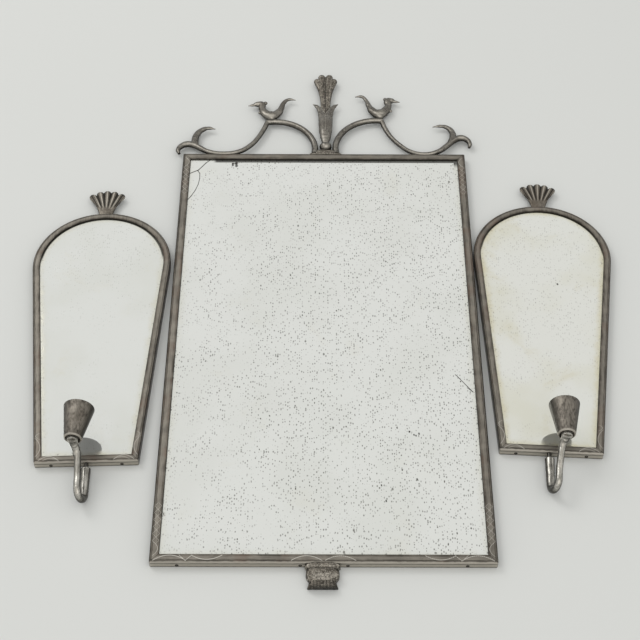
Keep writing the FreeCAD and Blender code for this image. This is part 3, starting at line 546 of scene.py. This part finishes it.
def shellLines(side):
    # ridges and grooves from a point under the shell's foot, painted as highlight and shade
    def lines(recipe):
        place = archMatrix(side)
        x, y, z = recipe.axes(recipe.mapped(tuple(place.translation), tuple(place.to_euler())))
        rise = z - shellSettings["crown"] * mm
        share = (x - shellSettings["shift"][side] * mm) / (rise + 0.0083) / 0.395
        wave = recipe.maths("COSINE", share * (4 * math.pi))
        fine = recipe.maths("COSINE", share * (12 * math.pi) + math.pi)
        gate = recipe.rise(rise, 0.009, 0.016)
        return (recipe.rise(wave, 0.55, 1.0) * gate * 0.8,
                (recipe.rise(wave, -0.15, -0.8) + recipe.rise(fine, 0.5, 1.0) * 0.45) * gate)
    return lines


def pendantLines(recipe):
    # painted highlights at the ends, a darker foot with stripes of painted shade for flutes
    x, y, z = recipe.axes(recipe.mapped((pendantX, 0, frameFoot), (0, 0, 0)))
    reach = recipe.maths("ABSOLUTE", x)
    drop = z * -1.0
    patchy = recipe.rise(recipe.noise(300.0, 2.0, 0.5), 0.42, 0.58)
    light = recipe.rise(reach, 0.0105, 0.0145) * patchy
    light = light * (lineAt(recipe, drop - 0.0165, 0.0034) + lineAt(recipe, drop - 0.003, 0.0024))
    flutes = recipe.rise(recipe.maths("SINE", x * (2 * math.pi / 0.0036)), -0.1, 0.7)
    return light, recipe.rise(drop, 0.0205, 0.022) * (flutes * 0.5 + 0.3)


plain = {"board": ((0.2, 0.12, 0.06), (0.42, 0.28, 0.16)), "rings": (0.17, 0.09, 0.045),
         "brass": ((0.3, 0.2, 0.08), (0.62, 0.47, 0.22)),
         "steel": ((0.4, 0.39, 0.37), (0.2, 0.12, 0.07))}


def boardMaterial():
    recipe = Recipe("pineBoard")
    grain = recipe.noise(30.0, 5.0, 0.6, recipe.mapped((0, 0, 0), (0, 0, 0), (1, 1, 14)), 0.4)
    rings = recipe.noise(9.0, 3.0, 0.6, recipe.mapped((0, 0, 0), (0, 0, 0), (1, 1, 9)), 1.5)
    colour = recipe.blend(grain, *plain["board"])
    colour = recipe.blend(recipe.rise(rings, 0.45, 0.6) * 0.45, colour, plain["rings"])
    return recipe.finish(Base_Color=colour, Roughness=0.72,
                         Normal=recipe.bump(grain, 0.0003))


def brassMaterial():
    recipe = Recipe("dullBrass")
    clouds = recipe.noise(160.0, 4.0, 0.6)
    colour = recipe.blend(clouds, *plain["brass"])
    return recipe.finish(Base_Color=colour, Roughness=0.3 + clouds * 0.25, Metallic=1.0,
                         Normal=recipe.bump(recipe.noise(900.0), 0.00008))


def steelMaterial():
    recipe = Recipe("plainSteel")
    clouds = recipe.noise(220.0, 4.0, 0.6)
    colour = recipe.blend(recipe.rise(clouds, 0.5, 0.7), *plain["steel"])
    return recipe.finish(Base_Color=colour, Roughness=0.32 + clouds * 0.2, Metallic=1.0,
                         Normal=recipe.bump(clouds, 0.0001))


crestMetal = pewterMaterial("agedPewterCrest", "crest", frontHighlight=0.8)
castingMetal = pewterMaterial("agedPewterCasting", "casting")
carvedMetal = pewterMaterial("carvedPewter", "casting", 1.2, (0.6, 0.05))
plumeMetal = pewterMaterial("plumePewter", "casting", 0.5, (0.9, 0.4), lines=plumeLines)
calyxMetal = pewterMaterial("calyxPewter", "crest", sideShade=(0.76, 0.2), lines=calyxLines)
pendantMetal = pewterMaterial("pendantPewter", "casting", 0.9, (0.72, 0.1), lines=pendantLines,
                              frontHighlight=0.35)
armMetal = pewterMaterial("agedPewterArm", "arm", sideShade=(0.84, 0.42), stretch=(1, 1, 8), frontHighlight=0.7)
cupMetal = pewterMaterial("pittedPewterCup", "cup", sideShade=(0.88, 0.25), stretch=(1, 1, 4),
                          frontHighlight=0.35)
# rivet heads get a painted highlight where they face the viewer
rivetMetal = pewterMaterial("wornHighlitPewterRivet", "cup", sideShade=(0.3, -0.3))
boardWood = boardMaterial()
hangerBrass = brassMaterial()
fixingSteel = steelMaterial()
print("materials made")


# helpers for new pieces

def linkMesh(name, mesh, material, body, replaced):
    mesh.materials.clear()
    mesh.materials.append(material)
    for polygon in mesh.polygons:
        polygon.use_smooth = True
    # facing light: how far each point faces the viewer, turned into painted highlight and painted
    # shade
    facingLight = mesh.attributes.new("facingLight", "FLOAT", "POINT")
    towardViewer = Vector((0, -0.86, -0.51))
    facingLight.data.foreach_set("value", [vertex.normal.dot(towardViewer) for vertex in mesh.vertices])
    piece = bpy.data.objects.new(name, mesh)
    scene.collection.objects.link(piece)
    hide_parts(replaced)
    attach(piece, body)


def setFacingLight(mesh, indices, value):
    # 0 is full painted shade, 1 a painted highlight, more than 1.2 a brighter one
    for index in indices:
        mesh.attributes["facingLight"].data[index].value = value


slotOf = {entry["node"]: entry["material_slot"] for entry in frame["record"]["subparts"]}


def held(data):
    holder = bpy.data.objects.new("holder", data)
    scene.collection.objects.link(holder)
    return holder


def finished(holder):
    # the mesh that a holder's bevel or modifiers make of it
    bpy.context.view_layer.update()
    mesh = bpy.data.meshes.new_from_object(
        holder.evaluated_get(bpy.context.evaluated_depsgraph_get()))
    bpy.data.objects.remove(holder)
    return mesh


def settled(made, name):
    # the mesh of a bmesh that is ready
    mesh = bpy.data.meshes.new(name)
    made.to_mesh(mesh)
    made.free()
    return mesh


def bentBar(points, roundness=6, steps=10):
    # round bar through (x, y, z, radius) points
    curve = bpy.data.curves.new("bar", "CURVE")
    curve.dimensions = "3D"
    curve.bevel_depth = 1.0
    curve.bevel_resolution = roundness
    curve.use_fill_caps = True
    curve.resolution_u = steps
    spline = curve.splines.new("BEZIER")
    spline.bezier_points.add(len(points) - 1)
    spline.radius_interpolation = "EASE"
    for point, (x, y, z, radius) in zip(spline.bezier_points, points):
        point.co = (x, y, z)
        point.radius = radius
        point.handle_left_type = "AUTO"
        point.handle_right_type = "AUTO"
    bar = finished(held(curve))
    bpy.data.curves.remove(curve)
    return bar


def roundBar(points):
    # a bar and the ball that rounds its far end
    x, y, z, radius = points[-1]
    return [bentBar(points), ballMesh((x, y, z), radius, 28)]


def joined(meshes):
    whole = bmesh.new()
    for mesh in meshes:
        whole.from_mesh(mesh)
        bpy.data.meshes.remove(mesh)
    return settled(whole, "joined")


def flattened(mesh, middle, share):
    mesh.transform(Matrix.Translation((0, middle, 0)) @ Matrix.Diagonal((1, share, 1, 1))
                   @ Matrix.Translation((0, -middle, 0)))
    return mesh


def ballMesh(centre, radius, segments=20):
    made = bmesh.new()
    bmesh.ops.create_uvsphere(made, u_segments=segments, v_segments=segments // 2, radius=radius,
                              matrix=Matrix.Translation(centre))
    return settled(made, "ball")


def melted(mesh, voxel, rounds):
    # joins overlapping shapes into one casting with soft inner corners
    holder = held(mesh)
    remesh = holder.modifiers.new("remesh", "REMESH")
    remesh.mode = "VOXEL"
    remesh.voxel_size = voxel
    remesh.adaptivity = 0
    soft = holder.modifiers.new("soft", "SMOOTH")
    soft.iterations = rounds
    soft.factor = 0.5
    return finished(holder)


# crest

# arch is (x, z, radius, degrees past its top), the others (x, z, radius) along a bar
crest = {
    "left": {
        "out": -1,
        "arch": (69.7, 11.2, 55.5, 11.0),
        "scroll": [(80.0, 66.0, 3.6), (86.2, 48.5, 3.4), (93.0, 33.5, 3.3), (101.5, 20.5, 3.3),
                   (117.0, 7.6, 3.3), (141.0, 3.2, 3.3), (160.0, 7.2, 3.5), (172.0, 14.8, 3.9),
                   (181.5, 20.8, 4.2), (189.5, 21.6, 4.3), (196.8, 17.4, 3.8),
                   (200.4, 10.4, 3.2), (198.6, 3.2, 1.9)],
        "horn": [(177.5, 18.0, 5.0), (178.4, 30.0, 5.0), (176.2, 41.0, 4.5), (169.6, 50.0, 3.7),
                 (160.8, 53.6, 2.6), (151.8, 51.8, 0.7)],
        "bird": [(108.0, 99.2, 0.6), (101.5, 100.8, 2.0), (94.5, 102.6, 4.4), (89.5, 101.5, 5.5),
                 (88.2, 93.5, 5.0), (84.0, 84.0, 6.5), (75.0, 79.0, 7.7), (66.5, 84.5, 5.9),
                 (61.6, 95.0, 4.1), (58.3, 106.0, 3.1), (51.8, 112.6, 2.3), (42.0, 111.4, 0.8)],
        "knobs": [(84.0, 104.8, 2.9), (91.2, 85.2, 2.4), (75.0, 76.0, 6.4)],
    },
    "right": {
        "out": 1,
        "arch": (69.8, 13.4, 56.3, 9.0),
        "scroll": [(77.6, 68.0, 3.5), (83.6, 49.4, 3.3), (91.4, 34.0, 3.1), (101.2, 21.0, 3.1),
                   (115.5, 8.0, 3.1), (134.0, 3.0, 3.1), (151.5, 7.4, 3.5), (164.5, 18.4, 3.9),
                   (175.5, 30.4, 4.2), (185.2, 35.4, 4.3), (193.0, 31.8, 3.8),
                   (196.8, 23.6, 3.2), (195.6, 16.6, 1.9)],
        "horn": [(171.5, 27.0, 4.9), (174.6, 38.0, 4.8), (173.2, 48.5, 4.1), (167.0, 56.4, 3.2),
                 (158.8, 59.0, 2.3), (147.6, 57.2, 0.7)],
        "bird": [(104.0, 107.6, 0.6), (97.8, 108.8, 2.0), (92.0, 110.6, 4.4), (87.6, 109.6, 5.5),
                 (87.4, 100.5, 4.8), (83.4, 90.0, 6.5), (74.5, 83.4, 7.7), (65.8, 89.0, 5.9),
                 (60.4, 100.0, 3.8), (56.6, 111.5, 2.7), (50.8, 119.0, 2.3), (41.2, 118.2, 0.8)],
        "knobs": [(83.4, 113.2, 2.8), (90.8, 89.4, 2.2), (75.2, 79.4, 6.4)],
    },
}
castSettings = {"hornFlat": 0.8, "birdFlat": 0.75, "rodRadii": (4.4, 3.8), "voxel": 0.42}


def crestPoint(side, x, z):
    return Vector((crestX + crest[side]["out"] * x * mm, crestY, frameTop + z * mm))


def crestLine(side, points):
    return [(*crestPoint(side, x, z), radius * mm) for x, z, radius in points]


def addCrestSide(side):
    data = crest[side]
    centreX, centreZ, radius, over = data["arch"]
    start = -math.degrees(math.asin(centreZ / radius)) + 3
    thick, thin = castSettings["rodRadii"]
    rod = []
    for step in range(8):
        share = step / 7
        angle = math.radians(start + (90 + over - start) * share)
        rod.append((centreX - radius * math.cos(angle), centreZ + radius * math.sin(angle),
                    thick + (thin - thick) * share))
    linkMesh(side + "HoopRod", bentBar(crestLine(side, rod)), crestMetal, "frames",
             "crest_" + side + "_arch_rod")
    linkMesh(side + "SweptScroll", bentBar(crestLine(side, data["scroll"])), crestMetal, "frames",
             "crest_" + side + "_scroll")
    horn = flattened(bentBar(crestLine(side, data["horn"])), crestY, castSettings["hornFlat"])
    linkMesh(side + "CurledHorn", horn, crestMetal, "frames", "crest_" + side + "_horn")
    shapes = [bentBar(crestLine(side, data["bird"]))]
    for x, z, knob in data["knobs"]:
        shapes.append(ballMesh(crestPoint(side, x, z), knob * mm))
    bird = flattened(joined(shapes), crestY, castSettings["birdFlat"])
    linkMesh(side + "CrestedBird", melted(bird, castSettings["voxel"] * mm, 3), crestMetal,
             "frames", "crest_" + side + "_bird")


for side in crest:
    addCrestSide(side)
print("crest sides built")


# calyx and plume

# vase is (z, radius) points, the others (x, z, radius)
plumeSettings = {
    "vase": [(24.0, 4.0), (27.0, 5.0), (31.0, 6.2), (37.0, 7.5), (50.0, 9.2), (65.0, 9.8),
             (80.0, 7.2)],
    "leaf": [(4.4, 68.0, 5.4), (5.2, 80.0, 5.1), (7.6, 90.0, 4.2), (11.8, 98.0, 3.0),
             (17.6, 103.0, 0.8)],
    "inner": [(1.8, 82.0, 2.6), (2.3, 105.0, 2.9), (3.2, 130.0, 3.9), (5.3, 158.6, 5.1)],
    "outer": [(4.2, 82.0, 2.2), (4.5, 105.0, 2.6), (6.2, 128.0, 3.7), (11.4, 150.2, 5.1)],
    "vaseFlat": 0.62,
    "plumeFlat": 0.68,
    "voxel": 0.4,
}


def addPlume():
    settings = plumeSettings
    vase = [(crestX, crestY, frameTop + z * mm, radius * mm) for z, radius in settings["vase"]]
    leaves = [bentBar(vase)] + [bentBar(crestLine(side, settings["leaf"])) for side in crest]
    calyx = flattened(joined(leaves), crestY, settings["vaseFlat"])
    linkMesh("calyx", melted(calyx, settings["voxel"] * mm, 4), calyxMetal, "frames", "crest_calyx")
    ribs = []
    for side in crest:
        for rib in ("inner", "outer"):
            ribs += roundBar(crestLine(side, settings[rib]))
    fan = flattened(joined(ribs), crestY, settings["plumeFlat"])
    linkMesh("plume", melted(fan, settings["voxel"] * mm, 1), plumeMetal, "frames", "crest_plume")


addPlume()
print("plume built")


# shells on the arched mirrors

shellSettings = {"shift": {"left": 0.0, "right": -2.0}, "ribs": 5, "height": 43.5,
                 "halfWidth": 23.5, "droop": 6.0, "root": (5.0, -3.0, 3.0),
                 "knee": (10.0, 17.0, 3.9), "tipRadius": 5.0, "flat": 0.62,
                 "foot": [(-3.0, 9.4), (5.0, 9.8), (10.0, 9.0), (15.0, 5.0)], "footFlat": 0.28,
                 "crown": 296.4 + 87.154}


def addShell(side):
    settings = shellSettings
    shift = settings["shift"][side]
    crown = settings["crown"]
    tip = settings["tipRadius"]
    ribs = []
    for index in range(settings["ribs"]):
        share = 2 * index / (settings["ribs"] - 1) - 1
        height = settings["height"] - tip - settings["droop"] * share ** 2
        stations = [settings["root"], settings["knee"], (settings["halfWidth"] - tip, height, tip)]
        ribs += roundBar([((shift + share * x) * mm, crestY, (crown + z) * mm, radius * mm)
                          for x, z, radius in stations])
    foot = bentBar([(shift * mm, crestY, (crown + z) * mm, radius * mm)
                    for z, radius in settings["foot"]])
    fan = joined([flattened(joined(ribs), crestY, settings["flat"]),
                  flattened(foot, crestY, settings["footFlat"])])
    fan = melted(fan, castSettings["voxel"] * mm, 1)
    fan.transform(archMatrix(side))
    metal = pewterMaterial(side + "ShellPewter", "casting", sideShade=(0.9, 0.5),
                           lines=shellLines(side))
    linkMesh(side + "FlutedShell", fan, metal, "frames", side + "_shell_crest")


for side in crest:
    addShell(side)
print("shells built")


# base plate, ball and pendant

# plate and pendant are rings of (height, half width, half depth)
footing = {
    "plate": [(0.0, 22.2, 3.7), (2.0, 21.6, 3.9), (3.0, 20.2, 3.7), (6.0, 17.6, 3.3),
              (8.4, 13.0, 2.7), (10.3, 8.4, 2.0)],
    "pendant": [(0.0, 18.8, 10.6), (0.9, 19.4, 11.2), (3.4, 19.4, 11.2), (4.4, 18.2, 10.4),
                (5.4, 16.2, 9.6), (6.8, 17.4, 11.4), (9.0, 18.4, 12.7), (12.4, 18.6, 13.3),
                (15.6, 18.1, 12.5), (18.4, 16.6, 10.8), (20.2, 15.0, 9.3), (22.6, 15.3, 9.4),
                (25.6, 16.0, 9.8), (28.2, 16.8, 10.3), (28.3, 15.9, 9.6)],
    "segments": 72,
    "ballSpread": 1.2,
    "plateSquare": 0.5,
    "pendantSquare": 0.55,
}


def ringStack(rings, place):
    # rings are (height, half width, half depth, squareness), one above another, bridged
    made = bmesh.new()
    loops = []
    for height, halfWidth, halfDepth, squareness in rings:
        ring = bmesh.ops.create_circle(made, segments=footing["segments"], radius=1.0)
        for vertex in ring["verts"]:
            x, y = vertex.co.x, vertex.co.y
            vertex.co = (math.copysign(abs(x) ** squareness, x) * halfWidth,
                         math.copysign(abs(y) ** squareness, y) * halfDepth, height)
        loops.append([edge for edge in made.edges if edge.verts[0] in ring["verts"]])
    for low, high in zip(loops, loops[1:]):
        bmesh.ops.bridge_loops(made, edges=low + high)
    for ends in (loops[0], loops[-1]):
        bmesh.ops.contextual_create(made, geom=ends)
    bmesh.ops.recalc_face_normals(made, faces=made.faces)
    mesh = settled(made, "stack")
    mesh.transform(place)
    return mesh


def addFooting():
    plate = [(z * mm, half * mm, deep * mm, footing["plateSquare"])
             for z, half, deep in footing["plate"]]
    linkMesh("steppedPlate", ringStack(plate, Matrix.Translation((crestX, crestY, frameTop))),
             carvedMetal, "frames", "crest_base_plate")
    centre = (ballLow + ballHigh) / 2
    ball = ballMesh((0, 0, 0), (ballHigh.x - ballLow.x) / 2, 32)
    ball.transform(Matrix.Translation(centre) @ Matrix.Diagonal((footing["ballSpread"], 1, 1, 1)))
    linkMesh("solderedBall", ball, crestMetal, "frames", "crest_ball")
    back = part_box("bottom_pendant")[1].y
    rings = []
    for drop, half, deep in footing["pendant"]:
        rings.append((-drop * mm, half * mm, deep * mm, footing["pendantSquare"]))
    pendant = ringStack(rings, Matrix.Translation((pendantX, 0, frameFoot)))
    trimmed = bmesh.new()
    trimmed.from_mesh(pendant)
    cut = bmesh.ops.bisect_plane(
        trimmed, geom=trimmed.verts[:] + trimmed.edges[:] + trimmed.faces[:],
        plane_co=(0, back, 0), plane_no=(0, 1, 0), clear_outer=True)
    edges = [item for item in cut["geom_cut"] if isinstance(item, bmesh.types.BMEdge)]
    bmesh.ops.contextual_create(trimmed, geom=edges)
    bmesh.ops.recalc_face_normals(trimmed, faces=trimmed.faces)
    trimmed.to_mesh(pendant)
    trimmed.free()
    linkMesh("cushionPendant", pendant, pendantMetal, "frames", "bottom_pendant")


addFooting()
print("base plate, ball and pendant built")


# candle arms and cups

arms = {
    "left": {"offset": 0.1, "turn": -16.1, "drop": 52.7, "lean": 4.6, "reach": 40.8,
             "base": -2.3, "tilt": -6.4},
    "right": {"offset": -2.3, "turn": 21.3, "drop": 53.8, "lean": 8.6, "reach": 41.9,
              "base": -9.5, "tilt": 1.5},
    "planeY": -5.85, "face": 9.0, "neckHeight": 7.2, "neckRadius": 2.6, "bend": 9.8,
    "elbow": 10.0, "root": 5.7, "end": 4.0, "taperShare": 0.6, "tongueDrop": 2.8,
    "tongueHalf": 4.0, "tongueThick": 2.4, "padRadius": 6.4, "padRise": 1.9, "flareFlat": 0.5,
    "leanShares": (0.2, 0.6), "neckStep": 0.8, "neckLap": 2.0, "tongueLap": 1.0, "voxel": 0.4,
    "flare": [(0.97, -12.5, 3.9), (0.86, -8.4, 4.2), (0.62, -5.0, 4.7), (0.34, -3.0, 5.3),
              (0.04, -1.9, 5.8)],
}
# (radius, height) from under the foot, up outside and down inside
cupProfile = [(0.0, 2.0), (8.3, 2.0), (8.4, 1.6), (8.45, 0.35), (8.7, 0.05), (9.4, 0.0),
              (10.0, 0.3), (10.35, 1.0), (10.57, 2.2), (10.6, 2.4), (17.85, 42.0), (17.8, 42.7),
              (17.4, 43.0), (16.9, 43.0), (16.5, 42.7), (16.35, 42.0), (9.55, 5.0), (9.1, 4.65),
              (8.4, 4.6), (0.0, 4.6)]
# facing light for parts: neck in painted shade, cup foot ring a painted highlight; others mm sizes
facingLightSettings = {"neck": 0.0, "pad": 0.86, "cupFoot": 0.8, "cupRing": 1.6,
          "neckReach": 6.0, "padLength": 7.0, "padDepth": 4.0,
          "footTop": 2.1, "ringRadius": 8.6, "shoulder": 0.2}
rivetSettings = {"radius": 1.3, "circle": 4.8, "angle": 40.0, "below": 2.4, "flat": 0.7}


def armMatrix(side):
    data = arms[side]
    return (archMatrix(side) @ Matrix.Translation((data["offset"] * mm, arms["planeY"] * mm, 0))
            @ Matrix.Rotation(math.radians(data["turn"]), 4, "Z"))


def cupMatrix(side):
    data = arms[side]
    return (armMatrix(side) @ Matrix.Translation((0, -data["reach"] * mm, data["base"] * mm))
            @ Matrix.Rotation(math.radians(-data["tilt"]), 4, "Y"))


def armPath(side):
    # (forward, height) along the rod, down from the rail, round the bend and up to the tongue
    data = arms[side]
    top = -arms["face"] - arms["neckHeight"]
    bend = arms["bend"]
    bendZ = bend - arms["face"] - data["drop"]
    elbow = arms["elbow"]
    elbowZ = data["base"] - arms["tongueDrop"] - elbow
    path = [(0.0, top), (0.0, top - 0.9), (0.0, (2 * top + bendZ) / 3),
            (0.0, (top + 2 * bendZ) / 3)]
    for angle in range(0, 181, 30):
        turn = math.radians(angle)
        path.append((bend * (1 - math.cos(turn)), bendZ - bend * math.sin(turn)))
    for share, lean in zip((1 / 3, 2 / 3), arms["leanShares"]):
        path.append((2 * bend + data["lean"] * lean, bendZ + (elbowZ - bendZ) * share))
    for angle in range(0, 91, 30):
        turn = math.radians(angle)
        path.append((2 * bend + data["lean"] + elbow * (1 - math.cos(turn)),
                     elbowZ + elbow * math.sin(turn)))
    return path


def armRod(side):
    path = armPath(side)
    lengths = [0.0]
    for here, there in zip(path, path[1:]):
        lengths.append(lengths[-1] + math.dist(here, there))
    points = []
    for (forward, z), run in zip(path, lengths):
        share = max(0, 1 - run / lengths[-1] / arms["taperShare"])
        radius = arms["end"] + (arms["root"] - arms["end"]) * share
        if run == 0:
            radius -= arms["neckStep"]
        points.append((0, -forward * mm, z * mm, radius * mm))
    return bentBar(points, 8, 12)


def tongueMesh(side):
    # the rod's end hammered flat: narrow at the elbow, wide under the cup
    made = bmesh.new()
    back = (arms[side]["reach"] - armPath(side)[-1][0] + arms["tongueLap"]) * mm
    bmesh.ops.create_cube(made, size=1.0)
    for vertex in made.verts:
        wide = vertex.co.y < 0
        half = arms["padRadius"] if wide else arms["tongueHalf"]
        vertex.co = (math.copysign(half * mm, vertex.co.x), 0.0 if wide else back,
                     (vertex.co.z - 0.5) * arms["tongueThick"] * mm)
    height = (arms["tongueThick"] + arms["padRise"]) * mm
    middle = (arms["padRise"] - arms["tongueThick"]) * mm / 2
    bmesh.ops.create_cone(made, cap_ends=True, segments=48, radius1=arms["padRadius"] * mm,
                          radius2=arms["padRadius"] * mm, depth=height,
                          matrix=Matrix.Translation((0, 0, middle)))
    mesh = settled(made, "tongue")
    mesh.transform(armMatrix(side).inverted() @ cupMatrix(side))
    return mesh


def flareMesh(side):
    # the smooth spread from the rod's elbow into the flat end, flattened along the cup's axis
    squash = arms["flareFlat"]
    data = arms[side]
    elbowY = data["reach"] - 2 * arms["bend"] - data["lean"]
    points = []
    for share, z, radius in arms["flare"]:
        points.append((0, share * elbowY * mm, z / squash * mm, radius * mm))
    mesh = bentBar(points)
    toArm = armMatrix(side).inverted() @ cupMatrix(side)
    mesh.transform(toArm @ Matrix.Diagonal((1, 1, squash, 1)))
    return mesh


def neckMesh():
    made = bmesh.new()
    height = (arms["neckHeight"] + arms["neckLap"]) * mm
    bmesh.ops.create_cone(made, cap_ends=True, segments=40, radius1=arms["neckRadius"] * mm,
                          radius2=arms["neckRadius"] * mm, depth=height,
                          matrix=Matrix.Translation((0, 0, -arms["face"] * mm - height / 2)))
    return settled(made, "neck")


def spunMesh(profile, segments):
    made = bmesh.new()
    corners = [made.verts.new((radius * mm, 0, z * mm)) for radius, z in profile]
    edges = [made.edges.new(pair) for pair in zip(corners, corners[1:])]
    bmesh.ops.spin(made, geom=corners + edges, cent=(0, 0, 0), axis=(0, 0, 1),
                   angle=2 * math.pi, steps=segments, use_merge=True)
    bmesh.ops.remove_doubles(made, verts=made.verts, dist=0.00001)
    bmesh.ops.recalc_face_normals(made, faces=made.faces)
    return settled(made, "spun")


def addArm(side):
    body = side + "_arm"
    shapes = [armRod(side), tongueMesh(side), flareMesh(side), neckMesh()]
    rod = melted(joined(shapes), arms["voxel"] * mm, 6)
    shoulder = (facingLightSettings["shoulder"] - arms["face"] - arms["neckHeight"]) * mm
    neck = [vertex.index for vertex in rod.vertices
            if vertex.co.z > shoulder and vertex.co.y > -facingLightSettings["neckReach"] * mm]
    padBack = (facingLightSettings["padLength"] - arms[side]["reach"]) * mm
    padFoot = (arms[side]["base"] - facingLightSettings["padDepth"]) * mm
    pad = [vertex.index for vertex in rod.vertices
           if vertex.co.y < padBack and vertex.co.z > padFoot]
    rod.transform(armMatrix(side))
    linkMesh(side + "SwanRod", rod, armMetal, body, side + "_candle_arm")
    # painted shade on the neck under the rail; the pad kept out of painted shade
    setFacingLight(rod, neck, facingLightSettings["neck"])
    setFacingLight(rod, pad, facingLightSettings["pad"])
    cup = spunMesh(cupProfile, 96)
    foot = [vertex.index for vertex in cup.vertices
            if vertex.co.z < facingLightSettings["footTop"] * mm]
    ring = [index for index in foot
            if cup.vertices[index].co.xy.length > facingLightSettings["ringRadius"] * mm]
    cup.transform(cupMatrix(side))
    linkMesh(side + "ConeCup", cup, cupMetal, body, side + "_candle_cup")
    # cup foot kept mostly out of painted shade, a painted highlight on its foot ring
    setFacingLight(cup, foot, facingLightSettings["cupFoot"])
    setFacingLight(cup, ring, facingLightSettings["cupRing"])
    heads = []
    for turn in (-1, 1):
        angle = math.radians(turn * rivetSettings["angle"])
        centre = (rivetSettings["circle"] * math.sin(angle) * mm,
                  -rivetSettings["circle"] * math.cos(angle) * mm, -rivetSettings["below"] * mm)
        heads.append(ballMesh((0, 0, 0), rivetSettings["radius"] * mm, 16))
        flat = Matrix.Diagonal((1, 1, rivetSettings["flat"], 1))
        heads[-1].transform(Matrix.Translation(centre) @ flat)
    rivets = joined(heads)
    rivets.transform(cupMatrix(side))
    linkMesh(side + "RivetHeads", rivets, rivetMetal, body, side + "_cup_rivets")


for side in crest:
    addArm(side)
print("arms and cups built")


# finishes on the CAD nodes that keep their own shape

def dress(name, material):
    piece = nodes[name]
    piece.data.materials.clear()
    piece.data.materials.append(material)


slotFinish = {"backboard": boardWood, "hanger_plate": hangerBrass, "steel_fixings": fixingSteel,
              "pewter_crest": crestMetal, "pewter_casting": castingMetal, "pewter_arm": armMetal}
for name in nodes:
    if slotOf[name] in slotFinish:
        dress(name, slotFinish[slotOf[name]])
centreKind = (centreAcross, centreEngraving, 0.0105, (-0.16, -0.0255, 0.0265, 0.157))
archKind = (archAcross, archEngraving, 0.009, (-0.0405, 0.0405))
centreLocation = (0, 0, frameFoot)
lyingCentre = railMaterial("centreLyingRail", centreKind, True, centreLocation)
standingCentre = railMaterial("centreStandingRail", centreKind, False, centreLocation)
for name, material in (("top", lyingCentre), ("bottom", lyingCentre), ("left", standingCentre),
                       ("right", standingCentre)):
    dress("centre_" + name + "_rail", material)
dress("centre_mirror_glass", glassMaterial("centreSilvering", "centre", centreLocation))
for side in crest:
    place = archMatrix(side)
    where = (tuple(place.translation), tuple(place.to_euler()))
    dress(side + "_bottom_rail", railMaterial(side + "LyingRail", archKind, True, *where))
    dress(side + "_arch_rail", railMaterial(side + "ArchRail", archKind, False, *where))
    dress(side + "_mirror_glass", glassMaterial(side + "Silvering", side, *where))
print("finishes given")


# wall and light

studio = {
    "wall": (0.67, 0.675, 0.655),
    "wallGap": 0.0004,
    "wallSpread": 4.0,
    "air": (0.96, 0.965, 0.95),
    "airStrength": 0.83,
    "mirrored": (1.0, 1.0, 0.985),
    "key": {"place": (-2.0, -2.8, 1.6), "aim": (0, 0, -0.2), "size": 1.6, "power": 30.0},
    "fill": {"place": (0.6, -2.6, -2.2), "aim": (0, 0, -0.3), "size": 2.2, "power": 12.0},
}


def addPlane(name, matrix, size, material):
    made = bmesh.new()
    bmesh.ops.create_grid(made, x_segments=1, y_segments=1, size=size, matrix=matrix)
    mesh = settled(made, name)
    mesh.materials.append(material)
    plane = bpy.data.objects.new(name, mesh)
    scene.collection.objects.link(plane)


def stageMaterial(name, colour):
    # clear for a look from behind and for the light on what that look finds
    recipe = Recipe(name)
    mottle = recipe.noise(3.0, 3.0, 0.5)
    shade = recipe.blend(mottle, tuple(c * 0.985 for c in colour), colour)
    behind = recipe.node("ShaderNodeNewGeometry", output="Backfacing")
    passed = recipe.node("ShaderNodeLightPath", output="Transparent Depth")
    clear = recipe.maths("MINIMUM", behind + passed, 1.0)
    return recipe.finish(Base_Color=shade, Roughness=0.9, Alpha=1.0 - clear)


def addStage():
    upright = Matrix.Rotation(math.pi / 2, 4, "X")
    addPlane("wall", Matrix.Translation((0, studio["wallGap"], 0)) @ upright,
             studio["wallSpread"], stageMaterial("paleWall", studio["wall"]))


def addLamp(name):
    settings = studio[name]
    data = bpy.data.lights.new(name, "AREA")
    data.size = settings["size"]
    data.energy = settings["power"]
    lamp = bpy.data.objects.new(name, data)
    lamp.location = settings["place"]
    aim = Vector(settings["aim"]) - Vector(settings["place"])
    lamp.rotation_euler = aim.to_track_quat("-Z", "Y").to_euler()
    scene.collection.objects.link(lamp)


def addAir():
    # even pale air; what mirrors and metal show of it is a little lighter
    world = bpy.data.worlds.new("air")
    world.use_nodes = True
    tree = world.node_tree
    ray = tree.nodes.new("ShaderNodeLightPath")
    tone = tree.nodes.new("ShaderNodeMix")
    tone.data_type = "RGBA"
    tone.inputs[6].default_value = (*studio["air"], 1)
    tone.inputs[7].default_value = (*studio["mirrored"], 1)
    tree.links.new(ray.outputs["Is Glossy Ray"], tone.inputs[0])
    tree.links.new(tone.outputs[2], tree.nodes["Background"].inputs["Color"])
    tree.nodes["Background"].inputs["Strength"].default_value = studio["airStrength"]
    scene.world = world


addStage()
addLamp("key")
addLamp("fill")
addAir()
print("stage and light set")
